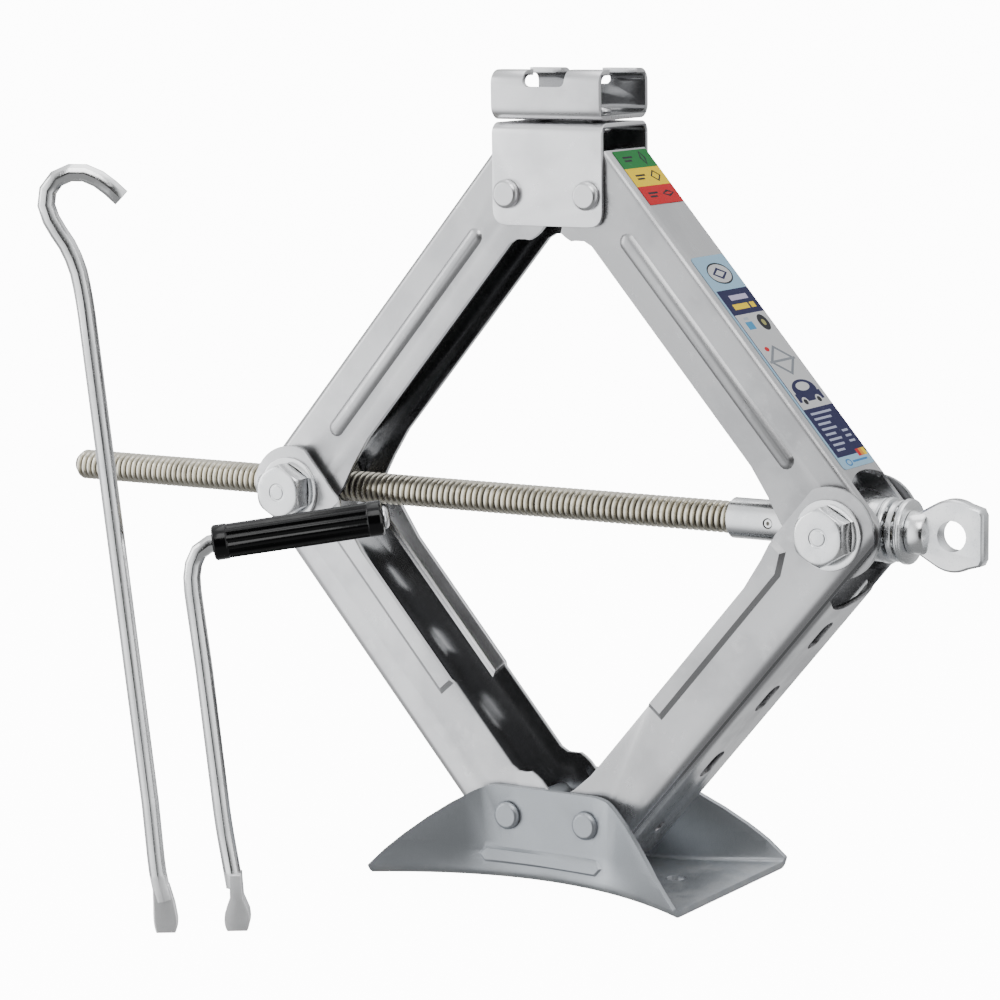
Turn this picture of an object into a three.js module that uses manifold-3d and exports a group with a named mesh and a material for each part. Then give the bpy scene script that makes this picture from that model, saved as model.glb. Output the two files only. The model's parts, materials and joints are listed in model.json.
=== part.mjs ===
// A screw-driven scissor jack with its loose two-piece crank.
// Millimetres, +Z up. The origin is the bottom centre of the foot, on the ground.
// +X runs along the screw towards the driven eye, and +Y goes through the pivot pins.
import * as THREE from "three";
import { mergeVertices } from "three/addons/utils/BufferGeometryUtils.js";
import Module from "manifold-3d";

const wasm = await Module();
wasm.setup();

// ---- Driving dimensions of the linkage ----
const ARM_LENGTH = 180; // pivot to hinge
const PIVOT_HALF_SPACING = 20; // also the pitch radius of the toothed arm ends
const REST_ANGLE = 49.5; // arm above the ground, in degrees
const BASE_PIVOT_Z = 28.5;
const GAP = 0.3; // between pieces that touch

// ---- The nested stack across the jack, from the inside out ----
const UPPER_ARM_OUTER = 17.4; // outer face, at plus and minus Y
const UPPER_ARM_SHEET = 2.5;
const BRACKET_SHEET = 2.2;
const LOWER_ARM_SHEET = 2.3;
const FOOT_PLAY = 0.4; // between the foot's walls and the lower arms
const FOOT_SHEET = 3;

// ---- Arm channel, seen from its side ----
const WEB_FACE = 19; // outer face of the web, out from the line of pivots
const FREE_EDGE = 13.5; // open edge, in from the line of pivots
const HINGE_ROUND = 20;
const WEB_START = -9;
const LOWER_WEB_SHORT = 22; // the web stops this far before the hinge
const UPPER_WEB_SHORT = 12;
const RIB_START = 25;
const RIB_SHORT = 35;
const STRIP_START = 64;
const SLOTS_BEFORE_HINGE = [46.5, 85.5, 127.3];

// ---- Teeth on the pivot ends of the arms ----
const TOOTH_PITCH = 22.5; // degrees, 16 to the full turn
const TOOTH_COUNT = 16;
const TOOTH_TIP = 22;
const TOOTH_ROOT = 17.4;
const PRESSURE_ANGLE = 25;
const BACKLASH = 0.3;

// ---- Pins, bolts and the screw ----
const PIN_RADIUS = 5;
const RIVET_HEAD_RADIUS = 6.2;
const BOLT_RADIUS = 7;
const BOLT_ACROSS_FLATS = 22;
const SCREW_RADIUS = 7;
const JOURNAL_RADIUS = 6.5;
const BARREL_RADIUS = 14;
const BOSS_REACH = 15.4;
const SCREW_REACH = 413; // from the driven hinge to the far end
const COLLAR_LENGTH = 41.2;
const COLLAR_RADIUS = 8.8;
const ROLL_PIN_INSET = 20.7;
const ROLL_PIN_RADIUS = 2;
const WASHER_RADIUS = 15;
const WASHER_THICK = 1.8;
const BOLT_HEAD_HEIGHT = 8.4;
const RACE_RADIUS = 13.8;
const RACE_THICK = 3;
const BALL_SPACE = 4.8; // between the two races' inner gaps
const EYE_OUT = 46.4; // the eye's centre beyond the driven hinge
const EYE_HOLE_RADIUS = 6.5;

// ---- Foot, top bracket and saddle ----
const FOOT_HALF_LENGTH = 78;
const FOOT_WALL_TOP = 41.6;
const BRACKET_HALF_LENGTH = 27.5;
const BRACKET_BELOW_PIVOT = 13.5;
const BRACKET_ABOVE_PIVOT = 30.6;
const SADDLE_HALF_LENGTH = 27;
const SADDLE_OUTER = 20.9;
const SADDLE_HEIGHT = 21.4;
const SADDLE_LIFT = 1.2; // gap under the saddle
const SADDLE_SHEET = 2.5;
const SADDLE_RIVET_X = 14;
const NOTCH_START = -11; // the notch across both lips, along X
const NOTCH_END = 9.8;
const NOTCH_DEPTH = 7.2;

// ---- Labels on the driven side's upper arm ----
const BAND_LABEL_START = -8;
const BAND_LABEL_END = 21;
const DATA_LABEL_START = 50;
const LABEL_HALF_WIDTH = 14.2;

// ---- Loose crank ----
const ROD_RADIUS = 3.8;
const CRANK_FACING = 32.45; // degrees that the plane of the rods is turned about +Z
const HOOK_STAND = [-98.7, -171.7]; // where each rod stands on the ground
const CRANK_STAND = [-75.9, -151.7];
const CRANK_TOP = 165.6; // the leg under the grip, where it is above the crank's foot
const GRIP_TILT = 7.8;
const GRIP_START = -6;
const GRIP_LENGTH = 71;
const GRIP_RADIUS = 7.2;

// ---- Derived values ----
const DEG = Math.PI / 180;
const HINGE_X = PIVOT_HALF_SPACING + ARM_LENGTH * Math.cos(REST_ANGLE * DEG);
const HINGE_Z = BASE_PIVOT_Z + ARM_LENGTH * Math.sin(REST_ANGLE * DEG);
const TOP_PIVOT_Z = 2 * HINGE_Z - BASE_PIVOT_Z;
const BRACKET_TOP_Z = TOP_PIVOT_Z + BRACKET_ABOVE_PIVOT;
const SADDLE_FLOOR_Z = BRACKET_TOP_Z + SADDLE_LIFT;
const SADDLE_TOP_Z = SADDLE_FLOOR_Z + SADDLE_HEIGHT;
const BRACKET_OUTER = UPPER_ARM_OUTER + GAP + BRACKET_SHEET;
const LOWER_ARM_OUTER = BRACKET_OUTER + GAP + LOWER_ARM_SHEET;
const FOOT_OUTER = LOWER_ARM_OUTER + FOOT_PLAY + FOOT_SHEET;
const BARREL_HALF_LENGTH = UPPER_ARM_OUTER - UPPER_ARM_SHEET - GAP;
const SCREW_FAR_END = HINGE_X - SCREW_REACH;
const COLLAR_END = HINGE_X - BOSS_REACH - GAP;
const COLLAR_START = COLLAR_END - COLLAR_LENGTH;
const ROLL_PIN_X = COLLAR_START + ROLL_PIN_INSET;
const THRUST_START = HINGE_X + BOSS_REACH + GAP;
const CAGE_START = THRUST_START + RACE_THICK + GAP;
const TURNING_RACE_START = CAGE_START + BALL_SPACE + GAP;
const EYE_START = TURNING_RACE_START + RACE_THICK + GAP;
const DATA_LABEL_END = ARM_LENGTH - UPPER_WEB_SHORT - 6;

const finish = (color, roughness, metalness) =>
  new THREE.MeshStandardMaterial({ color, roughness, metalness });
const SILVER = finish(0xc9cbcd, 0.38, 0.75);
const PLATED = finish(0xd4d5d2, 0.25, 0.9);
const FOOT_GREY = finish(0x8f959b, 0.45, 0.6);
const YELLOW_ZINC = finish(0xb4ac93, 0.35, 0.85);
const BLACK_PLASTIC = finish(0x141416, 0.3, 0);
const BAND_FILM = finish(0xe3c52a, 0.4, 0);
const DATA_FILM = finish(0x27386b, 0.4, 0);

// ---- Turning geometry into solids and back ----

function solid(geometry) {
  const bare = geometry.clone();
  bare.deleteAttribute("normal");
  bare.deleteAttribute("uv");
  const merged = mergeVertices(bare, 1e-4);
  return new wasm.Manifold(
    new wasm.Mesh({
      numProp: 3,
      vertProperties: Float32Array.from(merged.attributes.position.array),
      triVerts: Uint32Array.from(merged.index.array),
    }),
  );
}

function geometryOf(body) {
  const mesh = body.getMesh();
  const geometry = new THREE.BufferGeometry();
  geometry.setAttribute("position", new THREE.BufferAttribute(Float32Array.from(mesh.vertProperties), 3));
  geometry.setIndex(new THREE.BufferAttribute(Uint32Array.from(mesh.triVerts), 1));
  const flat = geometry.toNonIndexed();
  flat.computeVertexNormals();
  return flat;
}

function meshOf(name, body, material) {
  const mesh = new THREE.Mesh(geometryOf(body), material);
  mesh.name = name;
  return mesh;
}

function joined(bodies) {
  return bodies.reduce((sum, body) => sum.add(body));
}

function cut(body, tools) {
  return tools.reduce((left, tool) => left.subtract(tool), body);
}

// a point on a circle about the origin, with its turn in degrees
function polar(radius, turn) {
  return [radius * Math.cos(turn * DEG), radius * Math.sin(turn * DEG)];
}

// ---- Extrusions along each axis, from an outline in the other two ----

function basis(x, y, z) {
  return new THREE.Matrix4().makeBasis(x, y, z);
}

const X = new THREE.Vector3(1, 0, 0);
const Y = new THREE.Vector3(0, 1, 0);
const Z = new THREE.Vector3(0, 0, 1);
const MINUS_Y = new THREE.Vector3(0, -1, 0);

// an outline's points with any that fall on the one before left out
function traced(outline, divisions) {
  const points = outline.getPoints(divisions);
  const kept = points.filter((point, i) => point.distanceTo(points.at(i - 1)) > 1e-3);
  return new THREE.Shape(kept);
}

function extruded(outline, length, options) {
  const { divisions = 5, ...settings } = { depth: length, bevelEnabled: false, ...options };
  return new THREE.ExtrudeGeometry(traced(outline, divisions), settings);
}

// outline in (y, z)
function alongX(outline, from, to, options = {}) {
  return extruded(outline, to - from, options).applyMatrix4(basis(Y, Z, X)).translate(from, 0, 0);
}

// outline in (x, z)
function alongY(outline, from, to, options = {}) {
  return extruded(outline, to - from, options).applyMatrix4(basis(X, Z, MINUS_Y)).translate(0, to, 0);
}

// outline in (x, y)
function alongZ(outline, from, to, options = {}) {
  return extruded(outline, to - from, options).translate(0, 0, from);
}

function rod(radius, from, to, sides = 20) {
  const geometry = new THREE.CylinderGeometry(radius, radius, to - from, sides);
  return geometry.translate(0, (from + to) / 2, 0);
}

// a round bar along Y through (x, z)
function barAlongY(radius, from, to, x, z, sides = 20) {
  return solid(rod(radius, from, to, sides).translate(x, 0, z));
}

// a round bar along X through (y = 0, z)
function barAlongX(radius, from, to, z, sides = 20) {
  return solid(rod(radius, from, to, sides).rotateZ(-Math.PI / 2).translate(0, 0, z));
}

// a turned profile: pairs of (radius, distance along the axis), closed back to its first point
function turned(profile, sides = 20) {
  const points = profile.map(([radius, along]) => new THREE.Vector2(radius, along));
  return new THREE.LatheGeometry(points, sides);
}

function turnedAlongX(profile, sides = 20) {
  return turned(profile, sides).rotateZ(-Math.PI / 2);
}

// ---- Outlines ----

// a rounded slot from start to end, with its long side along the first axis
function slotOutline(start, end, middle, halfWidth) {
  const shape = new THREE.Shape();
  shape.moveTo(start + halfWidth, middle - halfWidth);
  shape.lineTo(end - halfWidth, middle - halfWidth);
  shape.absarc(end - halfWidth, middle, halfWidth, -Math.PI / 2, Math.PI / 2, false);
  shape.lineTo(start + halfWidth, middle + halfWidth);
  shape.absarc(start + halfWidth, middle, halfWidth, Math.PI / 2, Math.PI * 1.5, false);
  return shape;
}

function polygon(points) {
  return new THREE.Shape(points.map(([a, b]) => new THREE.Vector2(a, b)));
}

// a U of bent sheet in (y, z): floor at the bottom, walls going up
function channelOutline(outer, sheet, floor, top, bend) {
  const inside = bend - sheet;
  const shape = new THREE.Shape();
  shape.moveTo(-outer, top);
  shape.lineTo(-outer, floor + bend);
  shape.absarc(-outer + bend, floor + bend, bend, Math.PI, Math.PI * 1.5, false);
  shape.lineTo(outer - bend, floor);
  shape.absarc(outer - bend, floor + bend, bend, -Math.PI / 2, 0, false);
  shape.lineTo(outer, top);
  shape.lineTo(outer - sheet, top);
  shape.lineTo(outer - sheet, floor + bend);
  shape.absarc(outer - bend, floor + bend, inside, 0, -Math.PI / 2, true);
  shape.lineTo(-outer + bend, floor + sheet);
  shape.absarc(-outer + bend, floor + bend, inside, Math.PI * 1.5, Math.PI, true);
  shape.lineTo(-outer + sheet, top);
  return shape;
}

// ---- Arms ----
// An arm is made lying along +X: its pivot at the origin, its hinge at (ARM_LENGTH, 0, 0),
// its web at the bottom and its open side up. The placements below turn it into position.

const involute = (angle) => Math.tan(angle) - angle;

// half the angle that a tooth takes up at a radius
function toothHalfAngle(radius) {
  const base = PIVOT_HALF_SPACING * Math.cos(PRESSURE_ANGLE * DEG);
  const atPitch = Math.PI / (2 * TOOTH_COUNT) - BACKLASH / (2 * PIVOT_HALF_SPACING);
  const flank = Math.acos(Math.min(1, base / radius));
  return atPitch + involute(PRESSURE_ANGLE * DEG) - involute(flank);
}

// the points of one tooth, from its lower flank round to its upper flank
function toothPoints(centre) {
  const radii = [TOOTH_ROOT, 18.4, 19.6, 20.8, TOOTH_TIP];
  const rising = radii.map((radius) => polar(radius, centre - toothHalfAngle(radius) / DEG));
  const falling = radii.map((radius) => polar(radius, centre + toothHalfAngle(radius) / DEG)).reverse();
  return [...rising, ...falling];
}

// the nose ends in a gap, or runs into the far flank of the first tooth
function nosePoints(firstTooth) {
  const crest = [66, 74, 82].map((turn) => polar(TOOTH_TIP, turn));
  const first = toothPoints(firstTooth);
  const end = firstTooth > 95 ? [polar(TOOTH_ROOT, 90)] : first.slice(first.length / 2);
  return [[13, 15], [10, 18.4], ...crest, ...end];
}

// the arm seen from its side, in (x, z), with or without a nose beside the first tooth
function armOutline(firstTooth, nose) {
  const points = [
    [WEB_START, -WEB_FACE],
    [ARM_LENGTH + 6.2, -WEB_FACE],
  ];
  for (let turn = -64; turn <= 64; turn += 8) {
    const [across, up] = polar(HINGE_ROUND, turn);
    points.push([ARM_LENGTH + across, up]);
  }
  points.push([ARM_LENGTH - 18, 18], [ARM_LENGTH - 30, 15.5], [ARM_LENGTH - 45, FREE_EDGE]);
  points.push([17, FREE_EDGE]);
  points.push(...(nose ? nosePoints(firstTooth) : [[6, 15.2], polar(TOOTH_ROOT, 92)]));
  const start = firstTooth > 95 ? firstTooth : firstTooth + TOOTH_PITCH;
  for (let centre = start; centre < 185; centre += TOOTH_PITCH) points.push(...toothPoints(centre));
  points.push(polar(TOOTH_ROOT, 196));
  points.push(...[201, 212, 223, 234].map((turn) => polar(WEB_FACE, turn)));
  return polygon(points);
}

// a pressed-out shape on both flanges: metal added outside and taken away inside
function pressed(body, outline, outer, sheet, height, slope) {
  const sloped = { bevelEnabled: true, bevelThickness: height, bevelSize: slope };
  const bevel = { ...sloped, bevelSegments: 1, divisions: 3 };
  const boss = (face) => solid(alongY(outline, face - 0.01, face + 0.01, bevel));
  const raised = body.add(boss(outer)).add(boss(-outer));
  const inner = outer - sheet;
  return raised.subtract(boss(inner)).subtract(boss(-inner));
}

// the web cut away near the hinge, its end a shallow arc
function webEndCut(end, dip, halfWidth) {
  const shape = new THREE.Shape();
  const centre = end - dip + (halfWidth * halfWidth + dip * dip) / (2 * dip);
  const radius = centre - (end - dip);
  const sweep = Math.asin(Math.min(1, halfWidth / radius));
  shape.moveTo(ARM_LENGTH + 30, -halfWidth);
  shape.lineTo(ARM_LENGTH + 30, halfWidth);
  shape.lineTo(end, halfWidth);
  shape.absarc(centre, 0, radius, Math.PI - sweep, Math.PI + sweep, false);
  return solid(alongZ(shape, -WEB_FACE - 5, -WEB_FACE + 8));
}

function armBody(outer, sheet, bend, firstTooth, nose) {
  const channel = solid(alongX(channelOutline(outer, sheet, -WEB_FACE, 26, bend), -26, ARM_LENGTH + 24));
  return { channel, side: solid(alongY(armOutline(firstTooth, nose), -outer - 4, outer + 4)) };
}

function pivotHoles(outer) {
  return [
    barAlongY(PIN_RADIUS + GAP, -outer - 5, outer + 5, 0, 0),
    barAlongY(BOLT_RADIUS + GAP, -outer - 5, outer + 5, ARM_LENGTH, 0),
  ];
}

function lowerArm(firstTooth, nose) {
  const { channel, side } = armBody(LOWER_ARM_OUTER, LOWER_ARM_SHEET, 6, firstTooth, nose);
  const end = ARM_LENGTH - LOWER_WEB_SHORT;
  const strip = polygon([[STRIP_START, 7], [end - 8, 7], [end, 11], [end, 26], [STRIP_START, 26]]);
  const shaped = pressed(channel, strip, LOWER_ARM_OUTER, LOWER_ARM_SHEET, 1.6, 2.2).intersect(side);
  const slots = SLOTS_BEFORE_HINGE.map((before) => {
    const middle = ARM_LENGTH - before;
    const outline = slotOutline(middle - 8, middle + 8, 0, 4.5);
    return solid(alongZ(outline, -WEB_FACE - 5, -WEB_FACE + 5));
  });
  const drain = new THREE.Shape();
  drain.absarc(12, 0, 3, 0, Math.PI * 2, false);
  const openings = [...slots, solid(alongZ(drain, -WEB_FACE - 5, -WEB_FACE + 5))];
  const webEnd = webEndCut(end, 8, LOWER_ARM_OUTER - LOWER_ARM_SHEET);
  return cut(shaped, [...openings, webEnd, ...pivotHoles(LOWER_ARM_OUTER)]);
}

function upperArm(firstTooth) {
  const { channel, side } = armBody(UPPER_ARM_OUTER, UPPER_ARM_SHEET, 3.4, firstTooth, true);
  const rib = slotOutline(RIB_START, ARM_LENGTH - RIB_SHORT, -1.5, 1.8);
  const shaped = pressed(channel, rib, UPPER_ARM_OUTER, UPPER_ARM_SHEET, 1.4, 2).intersect(side);
  const webEnd = webEndCut(ARM_LENGTH - UPPER_WEB_SHORT, 4, UPPER_ARM_OUTER - UPPER_ARM_SHEET);
  return cut(shaped, [webEnd, ...pivotHoles(UPPER_ARM_OUTER)]);
}

// sideways: 1 for the arm on the screw's driven side, -1 for the other
function placeLower(mesh, sideways) {
  mesh.position.set(sideways * PIVOT_HALF_SPACING, 0, BASE_PIVOT_Z);
  mesh.rotation.set(0, -REST_ANGLE * DEG, sideways > 0 ? 0 : Math.PI, "ZYX");
  return mesh;
}

function placeUpper(mesh, sideways) {
  mesh.position.set(sideways * PIVOT_HALF_SPACING, 0, TOP_PIVOT_Z);
  mesh.rotation.set(Math.PI, REST_ANGLE * DEG, sideways > 0 ? 0 : Math.PI, "ZYX");
  return mesh;
}

// ---- Foot ----

// how far out the wall's outer face is at a place along it and a height
function footWallOut(x, z) {
  const along = Math.abs(x);
  const atGround = 27.5 + 24 * (along / FOOT_HALF_LENGTH) ** 2;
  const above = FOOT_OUTER + 0.3 * (along - 30 + Math.hypot(along - 30, 4));
  const rise = Math.min(1, z / 16);
  const blend = rise * rise * (3 - 2 * rise);
  return atGround + (above - atGround) * blend;
}

// flares straight walls into the foot's plan, leaving the middle of the floor where it is
function flareFoot(geometry) {
  const place = geometry.attributes.position;
  for (let i = 0; i < place.count; i += 1) {
    const y = place.getY(i);
    const share = Math.min(1, Math.abs(y) / 20);
    const shift = footWallOut(place.getX(i), place.getZ(i)) - FOOT_OUTER;
    place.setY(i, y + Math.sign(y) * share * shift);
  }
  return geometry;
}

// the foot's U in (y, z), with extra points up each wall so that the flare stays smooth
function footSection() {
  const outer = FOOT_OUTER;
  const inner = FOOT_OUTER - FOOT_SHEET;
  const bend = 5;
  const top = FOOT_WALL_TOP + 4;
  const heights = [8, 12, 16, top];
  const turns = [270, 290, 315, 340, 360];
  const corner = (radius) => turns.map((turn) => [
    outer - bend + radius * Math.cos(turn * DEG),
    bend + radius * Math.sin(turn * DEG),
  ]);
  const outside = [...corner(bend), ...heights.map((z) => [outer, z])];
  const inside = [...corner(bend - FOOT_SHEET), ...heights.map((z) => [inner, z])].reverse();
  const right = [...outside, ...inside];
  const left = right.map(([y, z]) => [-y, z]).reverse();
  return polygon([...right, ...left]);
}

function footSideOutline() {
  const end = FOOT_HALF_LENGTH;
  const top = FOOT_WALL_TOP;
  const shape = new THREE.Shape();
  shape.moveTo(-end, -1);
  shape.lineTo(end, -1);
  shape.lineTo(end, FOOT_SHEET + 1.4);
  shape.bezierCurveTo(0.85 * end, 17, 0.64 * end, 31, 36, top - 3.3);
  shape.quadraticCurveTo(30, top, 24, top);
  shape.lineTo(-24, top);
  shape.quadraticCurveTo(-30, top, -36, top - 3.3);
  shape.bezierCurveTo(-0.64 * end, 31, -0.85 * end, 17, -end, FOOT_SHEET + 1.4);
  return shape;
}

// a long bead pressed out of each wall near the ground
function footBead(side) {
  const outline = slotOutline(-32, 28, 10.5, 2.4);
  const stations = new THREE.Shape(outline.getSpacedPoints(34));
  const bevel = { bevelEnabled: true, bevelThickness: 1.3, bevelSize: 1.2, bevelSegments: 1, divisions: 1 };
  return solid(flareFoot(alongY(stations, side * FOOT_OUTER - 0.01, side * FOOT_OUTER + 0.01, bevel)));
}

function foot() {
  const section = alongX(footSection(), -FOOT_HALF_LENGTH, FOOT_HALF_LENGTH, { steps: 20 });
  const bent = solid(flareFoot(section)).add(footBead(1)).add(footBead(-1));
  const shaped = bent.intersect(solid(alongY(footSideOutline(), -70, 70)));
  const bolt = new THREE.Shape();
  bolt.absarc(0, 0, 4.5, 0, Math.PI * 2, false);
  const floorHoles = [-50.4, 50.4].map((x) => solid(alongZ(bolt, -2, 8).translate(x, 0, 0)));
  const pinHoles = [-PIVOT_HALF_SPACING, PIVOT_HALF_SPACING].map((x) =>
    barAlongY(PIN_RADIUS + GAP, -60, 60, x, BASE_PIVOT_Z));
  return cut(shaped, [...floorHoles, ...pinHoles]);
}

// ---- Pins and rivets ----

// a headed pin along Y, with a domed head at each end
function rivetPin(x, z, headStart, headEnd) {
  const head = RIVET_HEAD_RADIUS;
  const profile = [
    [0, -headEnd], [head - 1.4, -headEnd], [head, -headEnd + 1.2],
    [head, -headStart], [PIN_RADIUS, -headStart], [PIN_RADIUS, headStart], [head, headStart],
    [head, headEnd - 1.2], [head - 1.4, headEnd], [0, headEnd],
  ];
  return solid(turned(profile).translate(x, 0, z));
}

// a short rivet along Z that holds the saddle on the bracket, with a collar between them
function saddleRivet(x) {
  const under = BRACKET_TOP_Z - BRACKET_SHEET - GAP;
  const over = SADDLE_FLOOR_Z + SADDLE_SHEET + GAP;
  const profile = [
    [0, under - 2.2], [4.5, under - 2.2], [6, under - 1.2], [6, under], [4, under],
    [4, BRACKET_TOP_Z + GAP], [6, BRACKET_TOP_Z + GAP], [6, SADDLE_FLOOR_Z - GAP], [4, SADDLE_FLOOR_Z - GAP],
    [4, over], [6, over], [6, over + 1.2], [4.5, over + 2.2], [0, over + 2.2],
  ];
  return solid(turned(profile, 20).rotateX(Math.PI / 2).translate(x, 0, 0));
}

// ---- Hinge: trunnion, bolts and washers ----

function trunnion(x) {
  const barrel = barAlongY(BARREL_RADIUS, -BARREL_HALF_LENGTH, BARREL_HALF_LENGTH, x, HINGE_Z, 28);
  const boss = barAlongX(BARREL_RADIUS - 0.6, x - BOSS_REACH, x + BOSS_REACH, HINGE_Z, 28);
  const bore = barAlongX(SCREW_RADIUS + GAP, x - 30, x + 30, HINGE_Z);
  const tapped = [-1, 1].map((side) => {
    const from = Math.min(side * 8, side * 20);
    return barAlongY(BOLT_RADIUS + GAP, from, from + 12, x, HINGE_Z);
  });
  return cut(barrel.add(boss), [bore, ...tapped]);
}

function hingeBolt(x, side) {
  const headStart = LOWER_ARM_OUTER + GAP + WASHER_THICK + GAP;
  const headEnd = headStart + BOLT_HEAD_HEIGHT;
  const corner = BOLT_ACROSS_FLATS / 2 / Math.cos(30 * DEG);
  const hex = new THREE.CylinderGeometry(corner, corner, headEnd - headStart, 6);
  const chamfer = turned([
    [0, headStart - 1], [corner + 1, headStart - 1], [corner + 0.2, headEnd - 2], [corner - 2.6, headEnd],
    [0, headEnd],
  ], 30);
  const head = solid(hex.translate(0, (headStart + headEnd) / 2, 0)).intersect(solid(chamfer));
  const shank = solid(rod(BOLT_RADIUS, 8.4, headStart + 1));
  const bolt = geometryOf(head.add(shank));
  return solid(bolt.rotateX(side > 0 ? 0 : Math.PI).translate(x, 0, HINGE_Z));
}

function hingeWasher(x, side) {
  const from = LOWER_ARM_OUTER + GAP;
  const to = from + WASHER_THICK;
  const hole = BOLT_RADIUS + GAP;
  const rim = WASHER_RADIUS;
  const profile = [[hole, from], [rim, from], [rim, to - 0.5], [rim - 0.6, to], [hole, to], [hole, from]];
  return solid(turned(profile, 24).rotateX(side > 0 ? 0 : Math.PI).translate(x, 0, HINGE_Z));
}

// ---- Screw line ----

function screw() {
  const end = THRUST_START + 15.4;
  const profile = [
    [0, SCREW_FAR_END], [SCREW_RADIUS - 2.2, SCREW_FAR_END], [SCREW_RADIUS, SCREW_FAR_END + 2.4],
    [SCREW_RADIUS, COLLAR_START + 8], [JOURNAL_RADIUS, COLLAR_START + 8], [JOURNAL_RADIUS, end], [0, end],
  ];
  const body = solid(turnedAlongX(profile).translate(0, 0, HINGE_Z));
  return body.subtract(barAlongY(ROLL_PIN_RADIUS + GAP, -12, 12, ROLL_PIN_X, HINGE_Z, 12));
}

function stopCollar() {
  const from = COLLAR_START;
  const outside = [[COLLAR_RADIUS - 0.6, from], [COLLAR_RADIUS, from + 0.6], [COLLAR_RADIUS, COLLAR_END]];
  const bore = [[JOURNAL_RADIUS + GAP, COLLAR_END], [JOURNAL_RADIUS + GAP, from + 8 + GAP]];
  const entry = SCREW_RADIUS + GAP;
  const mouth = [[entry, from + 8 + GAP], [entry, from], [COLLAR_RADIUS - 0.6, from]];
  const body = solid(turnedAlongX([...outside, ...bore, ...mouth]).translate(0, 0, HINGE_Z));
  return body.subtract(barAlongY(ROLL_PIN_RADIUS + GAP, -12, 12, ROLL_PIN_X, HINGE_Z, 12));
}

// a ring about the screw, with its outer edges turned off
function ringAlongX(inner, outer, from, to, edge) {
  const profile = [
    [inner, from], [outer - edge, from], [outer, from + edge], [outer, to - edge], [outer - edge, to],
    [inner, to], [inner, from],
  ];
  return solid(turnedAlongX(profile, 24).translate(0, 0, HINGE_Z));
}

function race(from) {
  return ringAlongX(SCREW_RADIUS, RACE_RADIUS, from, from + RACE_THICK, 0.8);
}

// balls held in a thin ring between the two races
function ballCage(from) {
  const middle = from + BALL_SPACE / 2;
  const ring = ringAlongX(JOURNAL_RADIUS + 1.2, 13, middle - 1.3, middle + 1.3, 0.4);
  const balls = [];
  for (let turn = 0; turn < 360; turn += 40) {
    const ball = new THREE.SphereGeometry(2.3, 8, 6);
    ball.translate(middle, 10.4 * Math.cos(turn * DEG), HINGE_Z + 10.4 * Math.sin(turn * DEG));
    balls.push(solid(ball));
  }
  return joined([ring, ...balls]);
}

// the flattened eye that the crank's hook turns the screw by
function screwEye(from) {
  const neckEnd = from + 7;
  const neck = turnedAlongX([
    [0, from], [9.3, from], [9.3, neckEnd - 0.5], [8.5, neckEnd + 0.8], [3.4, neckEnd + 2], [0, neckEnd + 2],
  ]);
  const middle = HINGE_X + EYE_OUT;
  const radius = 14.2;
  const shoulder = 122 * DEG;
  const corner = 62 * DEG;
  const shoulderX = middle + radius * Math.cos(shoulder);
  const shoulderZ = radius * Math.sin(shoulder);
  const outline = new THREE.Shape();
  outline.moveTo(from + 4, -7.6);
  outline.quadraticCurveTo(middle - 14, -8.5, shoulderX, -shoulderZ);
  outline.absarc(middle, 0, radius, -shoulder, -corner, false);
  outline.lineTo(middle + 12, -11);
  outline.lineTo(middle + 13, -9);
  outline.lineTo(middle + 13, 9);
  outline.lineTo(middle + 12, 11);
  outline.absarc(middle, 0, radius, corner, shoulder, false);
  outline.quadraticCurveTo(middle - 14, 8.5, from + 4, 7.6);
  const rounded = { bevelEnabled: true, bevelThickness: 1, bevelSize: 1, bevelSegments: 1 };
  const plate = solid(alongY(outline, -2.6, 2.6, rounded));
  const hole = barAlongY(EYE_HOLE_RADIUS, -10, 10, middle, 0);
  const socket = barAlongX(JOURNAL_RADIUS + GAP, from - 1, from + 5, 0);
  const eye = cut(solid(neck).add(plate), [hole, socket]);
  return solid(geometryOf(eye).translate(0, 0, HINGE_Z));
}

// ---- Top bracket and saddle ----

function topBracket() {
  const height = BRACKET_ABOVE_PIVOT + BRACKET_BELOW_PIVOT;
  const section = channelOutline(BRACKET_OUTER, BRACKET_SHEET, 0, height + 2, 5);
  const upside = alongX(section, -BRACKET_HALF_LENGTH, BRACKET_HALF_LENGTH).rotateX(Math.PI);
  const channel = solid(upside.translate(0, 0, BRACKET_TOP_Z));
  const low = BRACKET_TOP_Z - height;
  const side = new THREE.Shape();
  side.moveTo(-BRACKET_HALF_LENGTH + 7, low);
  side.lineTo(BRACKET_HALF_LENGTH - 7, low);
  side.quadraticCurveTo(BRACKET_HALF_LENGTH, low, BRACKET_HALF_LENGTH, low + 7);
  side.lineTo(BRACKET_HALF_LENGTH, BRACKET_TOP_Z + 1);
  side.lineTo(-BRACKET_HALF_LENGTH, BRACKET_TOP_Z + 1);
  side.lineTo(-BRACKET_HALF_LENGTH, low + 7);
  side.quadraticCurveTo(-BRACKET_HALF_LENGTH, low, -BRACKET_HALF_LENGTH + 7, low);
  const shaped = channel.intersect(solid(alongY(side, -30, 30)));
  const pins = [-1, 1].map((s) => barAlongY(PIN_RADIUS + GAP, -30, 30, s * PIVOT_HALF_SPACING, TOP_PIVOT_Z));
  return cut(shaped, [...pins, ...saddleRivetHoles()]);
}

function saddleRivetHoles() {
  const hole = new THREE.Shape();
  hole.absarc(0, 0, 4 + GAP, 0, Math.PI * 2, false);
  return [-SADDLE_RIVET_X, SADDLE_RIVET_X].map((x) =>
    solid(alongZ(hole, BRACKET_TOP_Z - 8, SADDLE_FLOOR_Z + 8).translate(x, 0, 0)));
}

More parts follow.
